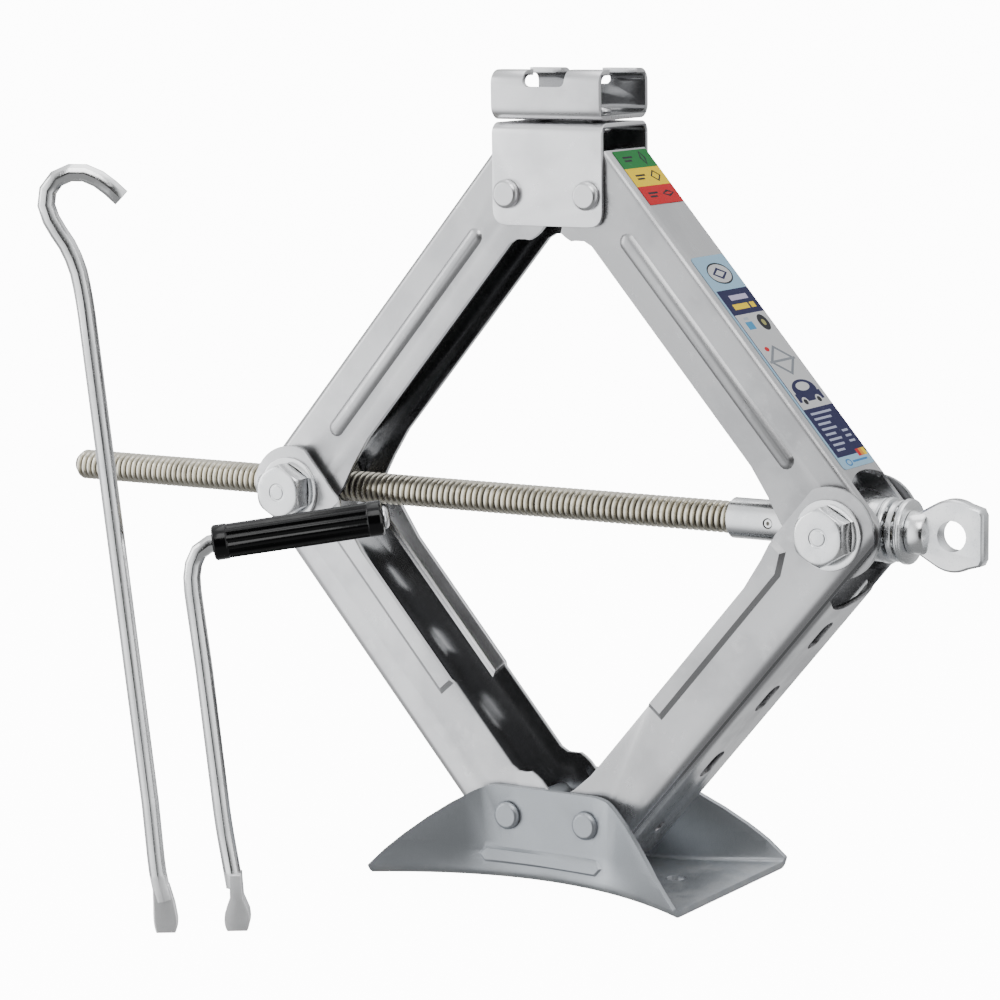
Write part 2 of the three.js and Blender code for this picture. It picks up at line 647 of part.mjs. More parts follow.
// a rounded C with its mouth up: floor, walls, and lips turned in over the top
function saddle() {
  const half = SADDLE_OUTER;
  const low = SADDLE_FLOOR_Z;
  const high = SADDLE_TOP_Z;
  const sheet = SADDLE_SHEET;
  const bend = 6;
  const lip = 11.5;
  const shape = new THREE.Shape();
  shape.moveTo(-lip, high);
  shape.lineTo(-half + bend, high);
  shape.absarc(-half + bend, high - bend, bend, Math.PI / 2, Math.PI, false);
  shape.absarc(-half + bend, low + bend, bend, Math.PI, Math.PI * 1.5, false);
  shape.absarc(half - bend, low + bend, bend, -Math.PI / 2, 0, false);
  shape.absarc(half - bend, high - bend, bend, 0, Math.PI / 2, false);
  shape.lineTo(lip, high);
  shape.lineTo(lip, high - sheet);
  shape.absarc(half - bend, high - bend, bend - sheet, Math.PI / 2, 0, true);
  shape.absarc(half - bend, low + bend, bend - sheet, 0, -Math.PI / 2, true);
  shape.absarc(-half + bend, low + bend, bend - sheet, Math.PI * 1.5, Math.PI, true);
  shape.absarc(-half + bend, high - bend, bend - sheet, Math.PI, Math.PI / 2, true);
  shape.lineTo(-lip, high - sheet);
  const body = solid(alongX(shape, -SADDLE_HALF_LENGTH, SADDLE_HALF_LENGTH));
  const deep = high - NOTCH_DEPTH;
  const notch = new THREE.Shape();
  notch.moveTo(NOTCH_START, high + 2);
  notch.lineTo(NOTCH_START, deep + 3);
  notch.quadraticCurveTo(NOTCH_START, deep, NOTCH_START + 3, deep);
  notch.lineTo(NOTCH_END - 3, deep);
  notch.quadraticCurveTo(NOTCH_END, deep, NOTCH_END, deep + 3);
  notch.lineTo(NOTCH_END, high + 2);
  return cut(body, [solid(alongY(notch, -30, 30)), ...saddleRivetHoles()]);
}

// ---- Labels on the driven side's upper arm, made in the arm's own place ----

function label(from, to) {
  const half = LABEL_HALF_WIDTH;
  const outline = polygon([[from, -half], [to, -half], [to, half], [from, half]]);
  return solid(alongZ(outline, -WEB_FACE - GAP - 0.3, -WEB_FACE - GAP));
}

// ---- Loose crank: made in a plane across the view of the jack's front, X right and Z up ----

function roundBar(path, steps) {
  const circle = new THREE.Shape();
  circle.absarc(0, 0, ROD_RADIUS, 0, Math.PI * 2, false);
  const settings = { extrudePath: path, steps, curveSegments: 5, bevelEnabled: false };
  return solid(new THREE.ExtrudeGeometry(circle, settings));
}

function smoothPath(points) {
  return new THREE.CatmullRomCurve3(points.map(([x, z]) => new THREE.Vector3(x, 0, z)), false, "centripetal");
}

// the long rod: a flattened tang at the ground, and a hook at the top
function hookRod() {
  const route = [
    [0, 14], [-2.3, 23], [-5.1, 57], [-9.2, 100], [-13.1, 138], [-16.9, 176], [-20.7, 217], [-23.5, 246],
    [-26.1, 269], [-28.2, 280], [-32, 289.5], [-37, 297.6], [-39.9, 304.5], [-39.8, 310.2], [-37.4, 315],
    [-33, 318.1], [-27.1, 319.3], [-21.1, 317.8], [-15.1, 313.8], [-9.4, 308.5],
  ];
  const bar = roundBar(smoothPath(route), 56);
  const tang = new THREE.Shape();
  tang.moveTo(-3.9, 0);
  tang.lineTo(4.1, 0);
  tang.quadraticCurveTo(5.6, 3, 5.2, 7);
  tang.lineTo(4.2, 13);
  tang.lineTo(2, 21);
  tang.lineTo(-5, 21);
  tang.lineTo(-5, 12);
  tang.quadraticCurveTo(-5.4, 3, -3.9, 0);
  const rounded = { bevelEnabled: true, bevelThickness: 0.6, bevelSize: 0.6 };
  const edge = { ...rounded, bevelOffset: -0.6, bevelSegments: 1 };
  return bar.add(solid(alongY(tang, -1.6, 1.6, edge)));
}

// the short rod: a forked head at the ground, a bend, and the leg that the grip turns on
function crankRod() {
  const rise = Math.tan(GRIP_TILT * DEG);
  const leg = (x) => [x, CRANK_TOP + x * rise];
  const route = [
    [-0.9, 18], [-5.1, 47], [-8.1, 78], [-11.2, 110], [-13.7, 132], [-15.3, CRANK_TOP - 18.6],
    [-15.1, CRANK_TOP - 12], [-13, CRANK_TOP - 5.6], [-9.8, CRANK_TOP - 2.2], leg(GRIP_START - 0.3), leg(0),
    leg(12), leg(40), leg(GRIP_START + (GRIP_LENGTH - 0.5) * Math.cos(GRIP_TILT * DEG)),
  ];
  const bar = roundBar(smoothPath(route), 40);
  const head = new THREE.Shape();
  head.moveTo(-4.2, 0);
  head.lineTo(4.2, 0);
  head.quadraticCurveTo(6, 3, 5, 8);
  head.lineTo(2.6, 14);
  head.lineTo(2, 24);
  head.lineTo(-2.8, 24);
  head.lineTo(-2.8, 14);
  head.lineTo(-5, 8);
  head.quadraticCurveTo(-6, 3, -4.2, 0);
  const slot = solid(alongY(polygon([[-8, -1], [8, -1], [8, 9], [-8, 9]]), -2.4, 2.4));
  return bar.add(solid(alongY(head, -5, 5))).subtract(slot);
}

// a fluted sleeve with a plain collar at each end, turned about its own X axis
function gripSleeve() {
  const flutes = new THREE.Shape();
  const sides = 36;
  for (let i = 0; i < sides; i += 1) {
    const radius = GRIP_RADIUS - (i % 3 === 0 ? 0.8 : 0);
    const turn = (i * 360 * DEG) / sides;
    const go = i === 0 ? "moveTo" : "lineTo";
    flutes[go](radius * Math.cos(turn), radius * Math.sin(turn));
  }
  const barrel = solid(alongX(flutes, 5, GRIP_LENGTH - 5));
  const rim = GRIP_RADIUS + 0.3;
  const collar = (from, to) => solid(turnedAlongX([
    [0, from], [rim - 0.7, from], [rim, from + 0.8], [rim, to - 0.8], [rim - 0.7, to], [0, to],
  ], 24));
  const bore = barAlongX(ROD_RADIUS + GAP, -2, GRIP_LENGTH + 2, 0);
  return joined([barrel, collar(0, 6.5), collar(GRIP_LENGTH - 6.5, GRIP_LENGTH)]).subtract(bore);
}

// the peened end that keeps the grip on
function gripEnd() {
  const start = GRIP_LENGTH + GAP;
  const profile = [[0, start], [4.9, start], [4.9, start + 1], [3.6, start + 2], [0, start + 2.3]];
  return solid(turnedAlongX(profile));
}

// puts a piece made about the grip's own axis onto the leg of the short rod
function onGrip(name, body, material) {
  const mesh = meshOf(name, body, material);
  mesh.position.set(GRIP_START, 0, CRANK_TOP + GRIP_START * Math.tan(GRIP_TILT * DEG));
  mesh.rotation.set(0, -GRIP_TILT * DEG, 0);
  return mesh;
}

// ---- Putting it together ----

const group = new THREE.Group();
group.name = "scissor_jack";

const add = (name, body, material) => group.add(meshOf(name, body, material));

add("foot_plate", foot(), FOOT_GREY);
for (const [side, sideways] of [["left", -1], ["right", 1]]) {
  const pivotX = sideways * PIVOT_HALF_SPACING;
  const hingeX = sideways * HINGE_X;
  const firstTooth = sideways > 0 ? 105 : 93.75;
  const basePin = rivetPin(pivotX, BASE_PIVOT_Z, FOOT_OUTER + 0.8, FOOT_OUTER + 2.8);
  const topPin = rivetPin(pivotX, TOP_PIVOT_Z, BRACKET_OUTER + GAP, BRACKET_OUTER + 3);
  add(`base_pin_${side}`, basePin, FOOT_GREY);
  group.add(placeLower(meshOf(`lower_arm_${side}`, lowerArm(firstTooth, sideways < 0), SILVER), sideways));
  group.add(placeUpper(meshOf(`upper_arm_${side}`, upperArm(firstTooth), SILVER), sideways));
  add(`top_pin_${side}`, topPin, SILVER);
  add(`saddle_rivet_${side}`, saddleRivet(sideways * SADDLE_RIVET_X), SILVER);
  for (const [face, outward] of [["front", -1], ["rear", 1]]) {
    add(`hinge_bolt_${side}_${face}`, hingeBolt(hingeX, outward), PLATED);
    add(`hinge_washer_${side}_${face}`, hingeWasher(hingeX, outward), PLATED);
  }
}
add("nut_trunnion", trunnion(-HINGE_X), PLATED);
add("thrust_trunnion", trunnion(HINGE_X), PLATED);
add("lifting_screw", screw(), YELLOW_ZINC);
add("stop_collar", stopCollar(), PLATED);
add("roll_pin", barAlongY(ROLL_PIN_RADIUS, -9.2, 9.2, ROLL_PIN_X, HINGE_Z, 12), PLATED);
add("thrust_race_fixed", race(THRUST_START), PLATED);
add("thrust_ball_cage", ballCage(CAGE_START), PLATED);
add("thrust_race_turning", race(TURNING_RACE_START), PLATED);
add("screw_eye", screwEye(EYE_START), PLATED);
add("top_bracket", topBracket(), SILVER);
add("saddle", saddle(), SILVER);
const bandLabel = meshOf("colour_band_label", label(BAND_LABEL_START, BAND_LABEL_END), BAND_FILM);
const dataLabel = meshOf("data_label", label(DATA_LABEL_START, DATA_LABEL_END), DATA_FILM);
group.add(placeUpper(bandLabel, 1), placeUpper(dataLabel, 1));

const rodStand = new THREE.Group();
rodStand.position.set(...HOOK_STAND, 0);
rodStand.rotation.set(0, 0, CRANK_FACING * DEG);
rodStand.add(meshOf("hook_rod", hookRod(), PLATED));
group.add(rodStand);

const crankStand = new THREE.Group();
crankStand.position.set(...CRANK_STAND, 0);
crankStand.rotation.set(0, 0, CRANK_FACING * DEG);
crankStand.add(meshOf("crank_rod", crankRod(), PLATED));
crankStand.add(onGrip("crank_grip", gripSleeve(), BLACK_PLASTIC));
crankStand.add(onGrip("grip_end_cap", gripEnd(), PLATED));
group.add(crankStand);

export default group;
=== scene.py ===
# %% [markdown]
# # A scissor jack and its loose crank
# The jack is four pressed channels on a flared foot, with a screw across the middle. Its structure
# arrives here as finished solids, one for each part, in metres, with +Z up. This file gives them
# their rolled edges, their thread, their turned faces and their finishes.

# %% Load the jack
import json
import math
import bpy
import bmesh
from mathutils import Matrix, Vector


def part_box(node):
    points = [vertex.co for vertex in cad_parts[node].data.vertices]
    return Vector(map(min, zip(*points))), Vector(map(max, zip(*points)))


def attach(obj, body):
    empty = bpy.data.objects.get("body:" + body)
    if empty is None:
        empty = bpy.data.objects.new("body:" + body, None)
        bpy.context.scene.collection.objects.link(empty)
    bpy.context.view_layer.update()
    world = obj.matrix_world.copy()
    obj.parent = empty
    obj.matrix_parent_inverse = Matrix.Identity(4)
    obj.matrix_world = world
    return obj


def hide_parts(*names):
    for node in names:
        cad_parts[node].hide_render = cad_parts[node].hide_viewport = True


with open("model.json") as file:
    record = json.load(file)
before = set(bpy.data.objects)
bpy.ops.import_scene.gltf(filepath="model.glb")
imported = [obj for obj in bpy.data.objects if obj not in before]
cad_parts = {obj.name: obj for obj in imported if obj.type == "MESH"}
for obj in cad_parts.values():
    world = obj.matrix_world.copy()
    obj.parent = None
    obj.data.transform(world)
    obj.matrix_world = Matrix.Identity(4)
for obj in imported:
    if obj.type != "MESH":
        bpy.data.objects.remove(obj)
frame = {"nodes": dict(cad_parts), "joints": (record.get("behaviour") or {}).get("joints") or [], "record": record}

MM = 0.001
NODES = frame["nodes"]
JOINTS = {joint["name"]: joint for joint in frame["joints"]}
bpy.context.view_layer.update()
print("parts:", len(NODES), "joints:", len(JOINTS))

# %% [markdown]
# ## The camera
# A long lens far away keeps the sides of the diamond nearly parallel. The camera is built from three
# turns, which is easier to reason about than an Euler triple: face along the ground, tip down, then
# roll. Its matrix has the camera's right, its up and the reverse of its view as columns.

# %% Camera
def aimed(place, turn, tip, roll):
    """A camera matrix from a place and three angles in degrees."""
    a, b, c = (math.radians(v) for v in (turn, tip, roll))
    view = Vector((-math.sin(a) * math.cos(b), math.cos(a) * math.cos(b), -math.sin(b)))
    right = Vector((math.cos(a), math.sin(a), 0.0))
    up = right.cross(view)
    level = right * math.cos(c) + up * math.sin(c)
    upright = up * math.cos(c) - right * math.sin(c)
    turned_to = Matrix((level, upright, -view)).transposed().to_4x4()
    return Matrix.Translation(place) @ turned_to


lens = bpy.data.cameras.new("camera")
lens.lens = 126.86
lens.sensor_width = 36.0
camera = bpy.data.objects.new("camera", lens)
camera.matrix_world = aimed(Vector((0.7932, -1.3079, 0.4037)), 32.45, 8.775, -0.807)
bpy.context.scene.collection.objects.link(camera)
bpy.context.scene.camera = camera

# %% [markdown]
# ## Places that everything hangs on
# The joints of the jack say where its pins and hinges are, so nothing has to be measured twice.
# The two unit vectors run down the driven-side upper arm and straight out of its back.

# %% Pins, hinges and the slope of the arms
def place_of(joint):
    return Vector(JOINTS[joint]["pos_m"])


LEFT_HINGE = place_of("nut_trunnion_turn")
RIGHT_HINGE = place_of("thrust_trunnion_turn")
TOP_LEFT_PIN = place_of("head_turn")
TOP_RIGHT_PIN = Vector((-TOP_LEFT_PIN.x, 0.0, TOP_LEFT_PIN.z))
BASE_LEFT_PIN = place_of("lift")
BASE_RIGHT_PIN = place_of("right_arm_turn")
DOWN_ARM = (RIGHT_HINGE - TOP_RIGHT_PIN).normalized()
OUT_OF_ARM = Vector((-DOWN_ARM.z, 0.0, DOWN_ARM.x))
print("arm length in mm:", round((RIGHT_HINGE - TOP_RIGHT_PIN).length / MM, 1))

# %% [markdown]
# ## Writing shaders as sums
# A finish is easier to read as `0.3 + 0.1 * noise` than as a list of links. `Wire` holds one socket
# and turns each operator into a Math node. `Finish` is one material: it adds any other node by its
# type, with the node's settings first and then what goes into its sockets.

# %% Shader helpers
class Wire:
    """One socket that can be used in sums."""

    def __init__(self, tree, socket):
        self.tree = tree
        self.socket = socket

    def math(self, operation, *inputs, clamp=False):
        node = self.tree.nodes.new("ShaderNodeMath")
        node.operation = operation
        node.use_clamp = clamp
        for slot, value in enumerate(inputs):
            if isinstance(value, Wire):
                self.tree.links.new(value.socket, node.inputs[slot])
            else:
                node.inputs[slot].default_value = value
        return Wire(self.tree, node.outputs[0])

    def __add__(self, other):
        return self.math("ADD", self, other)

    def __radd__(self, other):
        return self.math("ADD", other, self)

    def __sub__(self, other):
        return self.math("SUBTRACT", self, other)

    def __rsub__(self, other):
        return self.math("SUBTRACT", other, self)

    def __mul__(self, other):
        return self.math("MULTIPLY", self, other)

    def __rmul__(self, other):
        return self.math("MULTIPLY", other, self)

    def __truediv__(self, other):
        return self.math("DIVIDE", self, other)

    def __gt__(self, other):
        return self.math("GREATER_THAN", self, other)

    def __lt__(self, other):
        return self.math("LESS_THAN", self, other)

    def __abs__(self):
        return self.math("ABSOLUTE", self)

    def clamped(self):
        return self.math("ADD", self, 0.0, clamp=True)


class Board:
    """A node tree to build on."""

    def __init__(self, tree):
        self.tree = tree

    def add(self, kind, settings=None, values=None, out=0):
        node = self.tree.nodes.new(kind)
        for key, value in (settings or {}).items():
            if key == "stops":
                set_stops(node.color_ramp, value)
            else:
                setattr(node, key, value)
        for socket, value in (values or {}).items():
            if isinstance(value, Wire):
                self.tree.links.new(value.socket, node.inputs[socket])
            else:
                node.inputs[socket].default_value = value
        return Wire(self.tree, node.outputs[out])

    def add_output(self, surface):
        node = self.tree.nodes.new("ShaderNodeOutputWorld")
        self.tree.links.new(surface.socket, node.inputs["Surface"])

    def dot(self, where, direction):
        values = {0: where, 1: Vector(direction)}
        return self.add("ShaderNodeVectorMath", {"operation": "DOT_PRODUCT"}, values, out="Value")

    def stretched(self, where, scale):
        """The place with each axis scaled on its own, so noise turns into streaks."""
        return self.add("ShaderNodeVectorMath", {"operation": "MULTIPLY"}, {0: where, 1: scale})

    def noise(self, where, scale, detail=3.0, rough=0.55):
        values = {"Vector": where, "Scale": scale, "Detail": detail, "Roughness": rough}
        return self.add("ShaderNodeTexNoise", {"noise_dimensions": "3D"}, values)

    def between(self, wire, low, high):
        """0 below low, 1 above high, and a soft step between."""
        values = {"Value": wire, "From Min": low, "From Max": high}
        return self.add("ShaderNodeMapRange", {"interpolation_type": "SMOOTHSTEP"}, values)

    def mixed(self, factor, first, second):
        values = {0: factor, 6: first, 7: second}
        return self.add("ShaderNodeMix", {"data_type": "RGBA"}, values, out=2)

    def along(self, where, origin, direction):
        """How far a place is from an origin, measured along a direction, in millimetres."""
        offset = self.add("ShaderNodeVectorMath", {"operation": "SUBTRACT"}, {0: where, 1: origin})
        return self.dot(offset, direction) * 1000.0


class Finish(Board):
    """A material made of one Principled shader and what feeds it."""

    def __init__(self, name, **fixed):
        self.material = bpy.data.materials.new(name)
        self.material.use_nodes = True
        super().__init__(self.material.node_tree)
        self.shader = self.tree.nodes["Principled BSDF"]
        for socket, value in fixed.items():
            self.shader.inputs[socket.replace("_", " ")].default_value = value

    def feed(self, socket, wire):
        self.tree.links.new(wire.socket, self.shader.inputs[socket])

    def place(self):
        return self.add("ShaderNodeTexCoord", out="Object")

    def bump(self, height, distance, strength=1.0):
        values = {"Height": height, "Distance": distance, "Strength": strength}
        self.feed("Normal", self.add("ShaderNodeBump", None, values))


def set_stops(ramp, stops):
    while len(ramp.elements) > len(stops):
        ramp.elements.remove(ramp.elements[-1])
    while len(ramp.elements) < len(stops):
        ramp.elements.new(1.0)
    for element, (position, colour) in zip(ramp.elements, stops):
        element.position = position
        element.color = colour


def rgb(red, green, blue):
    return (red, green, blue, 1.0)


# %% [markdown]
# ## Silver sheet metal
# The arms, bracket and saddle are pressed steel under a thin silver coat. Three scales make it:
# soft clouds where the coat is thicker, a fine sparkle of metal flake, and long faint rub marks.
# Handling leaves the shine uneven, so most of the variation goes into roughness, not colour.
# The parts don't all look equally bright, so each coat has its own brightness, judged one by one. That brightness
# is painted light and shade: the parts share one silver coat, and each copy is made lighter or darker to stand in
# for the light that fell on it. What makes them differ isn't known: it may be the coat or only the light that
# they stood in.
#
# The insides of the channels look dark and glossy. Their darkness is painted shade: bands of distance say where
# the inside is, and there the same coat is painted dark and even, and made glossier.

# %% Silver coat
def silver_coat(name, bright, inside):
    """inside: bands of (origin, direction, low, high) in millimetres that hold the hidden faces, which are painted
    with shade.
    """
    finish = Finish(name, Metallic=0.92, IOR=1.6)
    where = finish.place()
    clouds = finish.noise(where, 34.0, 4.0)
    swell = finish.noise(where, 14.0, 1.0)
    flake = finish.noise(where, 2600.0, 1.0)
    rubs = finish.noise(finish.stretched(where, (40.0, 420.0, 40.0)), 3.0, 5.0, 0.7)
    dull = finish.between(clouds, 0.42, 0.62)
    rubbed = finish.between(rubs, 0.56, 0.68)
    hidden = 1.0 if inside else 0.0
    for origin, direction, low, high in inside:
        reach = finish.along(where, origin, direction)
        hidden = hidden * (reach > low) * (reach < high)
    thin, thick = 0.68 * bright, 0.57 * bright
    thin_coat, thick_coat = rgb(thin, thin, thin * 1.01), rgb(thick, thick, thick * 1.02)
    polish = thin * 1.12
    tone = finish.mixed(dull * 0.6 + flake * 0.4, thin_coat, thick_coat)
    worn = finish.mixed(rubbed * 0.25, tone, rgb(polish, polish, polish))
    # painted shade: the inside of each channel is coloured dark grey
    painted_inside_shade = finish.mixed(flake, rgb(0.27, 0.272, 0.278), rgb(0.23, 0.232, 0.238))
    finish.feed("Base Color", finish.mixed(hidden, worn, painted_inside_shade))
    rough = 0.27 + 0.08 * dull - 0.06 * rubbed + 0.05 * flake - 0.13 * hidden
    finish.feed("Roughness", rough.clamped())
    finish.bump(flake * 0.4 + clouds * 1.2 + swell * 4.0 - rubbed * 0.25, 0.00004, 0.7)
    return finish.material


ORIGIN = (0.0, 0.0, 0.0)
ACROSS = (0.0, 1.0, 0.0)
UP = (0.0, 0.0, 1.0)
WEB_INSIDE = 17.6  # from the line of pivots, all sizes in millimetres
FLANGE_INSIDE = {"upper": 15.6, "lower": 21.2}


def arm_coat(node, pivot, hinge, above, bright):
    """The coat of one arm. above is 1 for an upper arm, whose back faces up, and -1 for a lower one."""
    down = (hinge - pivot).normalized()
    out = Vector((-down.z, 0.0, down.x))
    if out.z * above < 0:
        out = -out
    half = FLANGE_INSIDE[node[:5]]
    bands = [(pivot, ACROSS, -half, half), (pivot, out, -60.0, WEB_INSIDE)]
    return silver_coat(node + "_coat", bright, bands)


# painted light and shade: each number below, and those for the bracket, saddle and pins further down, makes a copy
# of the one coat lighter or darker
COATS = {
    "upper_arm_left": arm_coat("upper_arm_left", TOP_LEFT_PIN, LEFT_HINGE, 1, 0.82),
    "upper_arm_right": arm_coat("upper_arm_right", TOP_RIGHT_PIN, RIGHT_HINGE, 1, 0.64),
    "lower_arm_left": arm_coat("lower_arm_left", BASE_LEFT_PIN, LEFT_HINGE, -1, 1.02),
    "lower_arm_right": arm_coat("lower_arm_right", BASE_RIGHT_PIN, RIGHT_HINGE, -1, 0.74),
}
BRACKET_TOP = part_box("top_bracket")[1]
SADDLE_LOW, SADDLE_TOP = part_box("saddle")
COATS["top_bracket"] = silver_coat("top_bracket_coat", 1.3, [
    (BRACKET_TOP, UP, -60.0, -1.6), (ORIGIN, ACROSS, -18.4, 18.4)])
COATS["saddle"] = silver_coat("saddle_coat", 1.08, [
    (SADDLE_LOW, UP, 2.0, 60.0), (SADDLE_TOP, UP, -60.0, -2.0), (ORIGIN, ACROSS, -18.8, 18.8)])
PIN_COAT = silver_coat("pin_coat", 1.1, [])
print("coats:", sorted(COATS))

# %% [markdown]
# ## Zinc plate
# Bolts, washers, collar, eye and rods are bright zinc. It is shinier than the coat, with a slightly
# blue cast in places, and tiny pits where the acid bath etched the steel.

# %% Zinc plate
def zinc_plate(name, bright, shade, streak, shine=0.17, dull_foot=0.0):
    """dull_foot: the height in millimetres under which the plate is dull, on the flattened rod ends."""
    finish = Finish(name, Metallic=1.0)
    where = finish.place()
    forged = 1.0 - finish.between(finish.along(where, ORIGIN, UP), dull_foot - 3.0, dull_foot)
    clouds = finish.noise(where, 60.0, 4.0)
    pits = finish.noise(where, 1500.0, 2.0)
    draw = finish.noise(finish.stretched(where, streak), 4.0, 4.0, 0.65)
    cast = finish.between(clouds, 0.4, 0.65)
    pitted = finish.between(pits, 0.60, 0.70)
    finish.feed("Base Color", finish.mixed((cast * 0.7 + pitted * 0.3).clamped(), bright, shade))
    finish.feed("Roughness", (shine + 0.10 * cast + 0.16 * pitted + 0.06 * draw + 0.4 * forged).clamped())
    finish.bump(draw * 0.8 - pitted * 0.4, 0.00003, 0.5)
    return finish.material


PLATED = zinc_plate("zinc_plate", rgb(0.84, 0.84, 0.84), rgb(0.70, 0.72, 0.74), (300.0, 300.0, 300.0))
DRAWN = zinc_plate("zinc_plate_drawn_rod", rgb(0.90, 0.90, 0.90), rgb(0.74, 0.745, 0.75),
                   (500.0, 500.0, 30.0), 0.07, 26.0)

# %% [markdown]
# ## The grey foot
# The foot has the same kind of coat, a good deal darker, and it stands on the ground, so dust and
# rubbed spots gather low down.

# %% Foot coat
def foot_coat():
    finish = Finish("foot_coat", Metallic=0.75)
    where = finish.place()
    clouds = finish.noise(where, 30.0, 4.0)
    flake = finish.noise(where, 2300.0, 1.0)
    height = finish.along(where, ORIGIN, UP)
    low = 1.0 - finish.between(height, 0.5, 7.0)
    dusty = (low * finish.between(finish.noise(where, 120.0, 5.0, 0.7), 0.42, 0.62)).clamped()
    tone = finish.mixed(clouds * 0.6 + flake * 0.4, rgb(0.44, 0.465, 0.49), rgb(0.35, 0.37, 0.395))
    finish.feed("Base Color", finish.mixed(dusty * 0.35, tone, rgb(0.46, 0.455, 0.44)))
    finish.feed("Roughness", (0.33 + 0.10 * clouds + 0.05 * flake + 0.22 * dusty).clamped())
    finish.bump(flake * 0.5 + clouds * 1.5, 0.00005, 0.6)
    return finish.material


FOOT = foot_coat()

# %% [markdown]
# ## The oiled thread
# The screw is zinc with a yellow passivate. Its crests are coloured light and its roots much darker, so the
# distance from the screw's own axis picks between the two.

# %% Thread finish
SCREW_RADIUS = 7.0
THREAD_DEPTH = 1.75


def thread_zinc():
    finish = Finish("thread_zinc", Metallic=1.0)
    where = finish.place()
    up = finish.along(where, LEFT_HINGE, UP)
    across = finish.along(where, LEFT_HINGE, ACROSS)
    square = up * up + across * across
    radius = square.math("SQRT", square)
    crest = finish.between(radius, SCREW_RADIUS - THREAD_DEPTH, SCREW_RADIUS - 0.25)
    grime = finish.between(finish.noise(where, 140.0, 4.0), 0.40, 0.65)
    fine = finish.noise(where, 1400.0, 2.0)
    root = finish.mixed(grime, rgb(0.25, 0.225, 0.17), rgb(0.13, 0.12, 0.10))
    top = finish.mixed(grime * 0.5 + fine * 0.3, rgb(0.78, 0.745, 0.65), rgb(0.60, 0.57, 0.48))
    finish.feed("Base Color", finish.mixed(crest, root, top))
    finish.feed("Roughness", (0.42 - 0.20 * crest + 0.10 * grime + 0.05 * fine).clamped())
    finish.bump(fine, 0.00003, 0.4)
    return finish.material


THREAD = thread_zinc()

# %% [markdown]
# ## Black moulded plastic
# The grip is glossy black plastic with a faint orange-peel surface and finger smears.

# %% Grip plastic
def grip_plastic():
    finish = Finish("grip_plastic", IOR=1.45, Specular_IOR_Level=0.35)
    where = finish.place()
    smear = finish.between(finish.noise(where, 90.0, 4.0), 0.4, 0.66)
    peel = finish.noise(where, 700.0, 1.0)
    dust = finish.between(finish.noise(where, 420.0, 4.0, 0.7), 0.60, 0.72)
    finish.feed("Base Color", finish.mixed(dust * 0.3, rgb(0.003, 0.003, 0.0035), rgb(0.02, 0.02, 0.02)))
    finish.feed("Roughness", (0.12 + 0.10 * smear + 0.12 * dust).clamped())
    finish.bump(peel, 0.00004, 0.35)
    return finish.material


GRIP_BLACK = grip_plastic()

# %% [markdown]
# ## Rolled edges on sheet metal
# A pressed part never has a knife edge. The solids from the CAD side are copied, welded, freed of the
# flat edges between triangles that lie in one plane, and given a small bevel. The bevel catches
# the light along every rim, which is most of what makes sheet steel look like steel.

# %% A copy with rolled edges
def link(obj):
    bpy.context.scene.collection.objects.link(obj)
    return obj


def settle(obj):
    """Turn an object's modifiers into its mesh."""
    bpy.context.view_layer.update()
    graph = bpy.context.evaluated_depsgraph_get()
    mesh = bpy.data.meshes.new_from_object(obj.evaluated_get(graph))
    obj.modifiers.clear()
    obj.data = mesh
    return obj


def smooth_by_angle(mesh, degrees):
    """Smooth faces, with an edge kept sharp where its two faces turn more than this."""
    shape = bmesh.new()
    shape.from_mesh(mesh)
    limit = math.radians(degrees)
    for face in shape.faces:
        face.smooth = True
    for edge in shape.edges:
        edge.smooth = len(edge.link_faces) == 2 and edge.calc_face_angle(0.0) < limit
    shape.to_mesh(mesh)
    shape.free()


def fit(piece, node, finish):
    """Put a finished piece in the place of a CAD part."""
    body = next(b for b, names in frame["record"]["behaviour"]["bodies"].items() if node in names)
    piece.data.materials.clear()
    piece.data.materials.append(finish)
    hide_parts(node)
    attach(piece, body)
    return piece


def rolled(node, finish, roll=0.35, segments=2, smooth=40):
    """A copy of a CAD part with rolled edges, standing in its place."""
    mesh = NODES[node].data.copy()
    shape = bmesh.new()
    shape.from_mesh(mesh)
    bmesh.ops.remove_doubles(shape, verts=shape.verts, dist=0.01 * MM)
    bmesh.ops.dissolve_limit(shape, angle_limit=math.radians(0.6), verts=shape.verts, edges=shape.edges)
    shape.to_mesh(mesh)
    shape.free()
    piece = link(bpy.data.objects.new(node + "_piece", mesh))
    bevel = piece.modifiers.new("roll", "BEVEL")
    bevel.width = roll * MM
    bevel.segments = segments
    bevel.limit_method = "ANGLE"
    bevel.angle_limit = math.radians(35)
    settle(piece)
    smooth_by_angle(piece.data, smooth)
    return fit(piece, node, finish)


for part, finish in COATS.items():
    made = rolled(part, finish, 0.55 if part.startswith("lower") else 0.4, 3)
    print(part, len(made.data.polygons), "faces")
rolled("foot_plate", FOOT, 0.8, 3)

# %% [markdown]
# ## Turned parts
# Pins, washers, races and the collar are made on a lathe, so they are made here by spinning a profile.
# A spun profile of ninety-six steps has no flats on its outline. The profile lists a radius and a
# distance along the axis, and small steps in it are the edges that a turning tool leaves.

# %% Spinning a profile
STEPS = 96


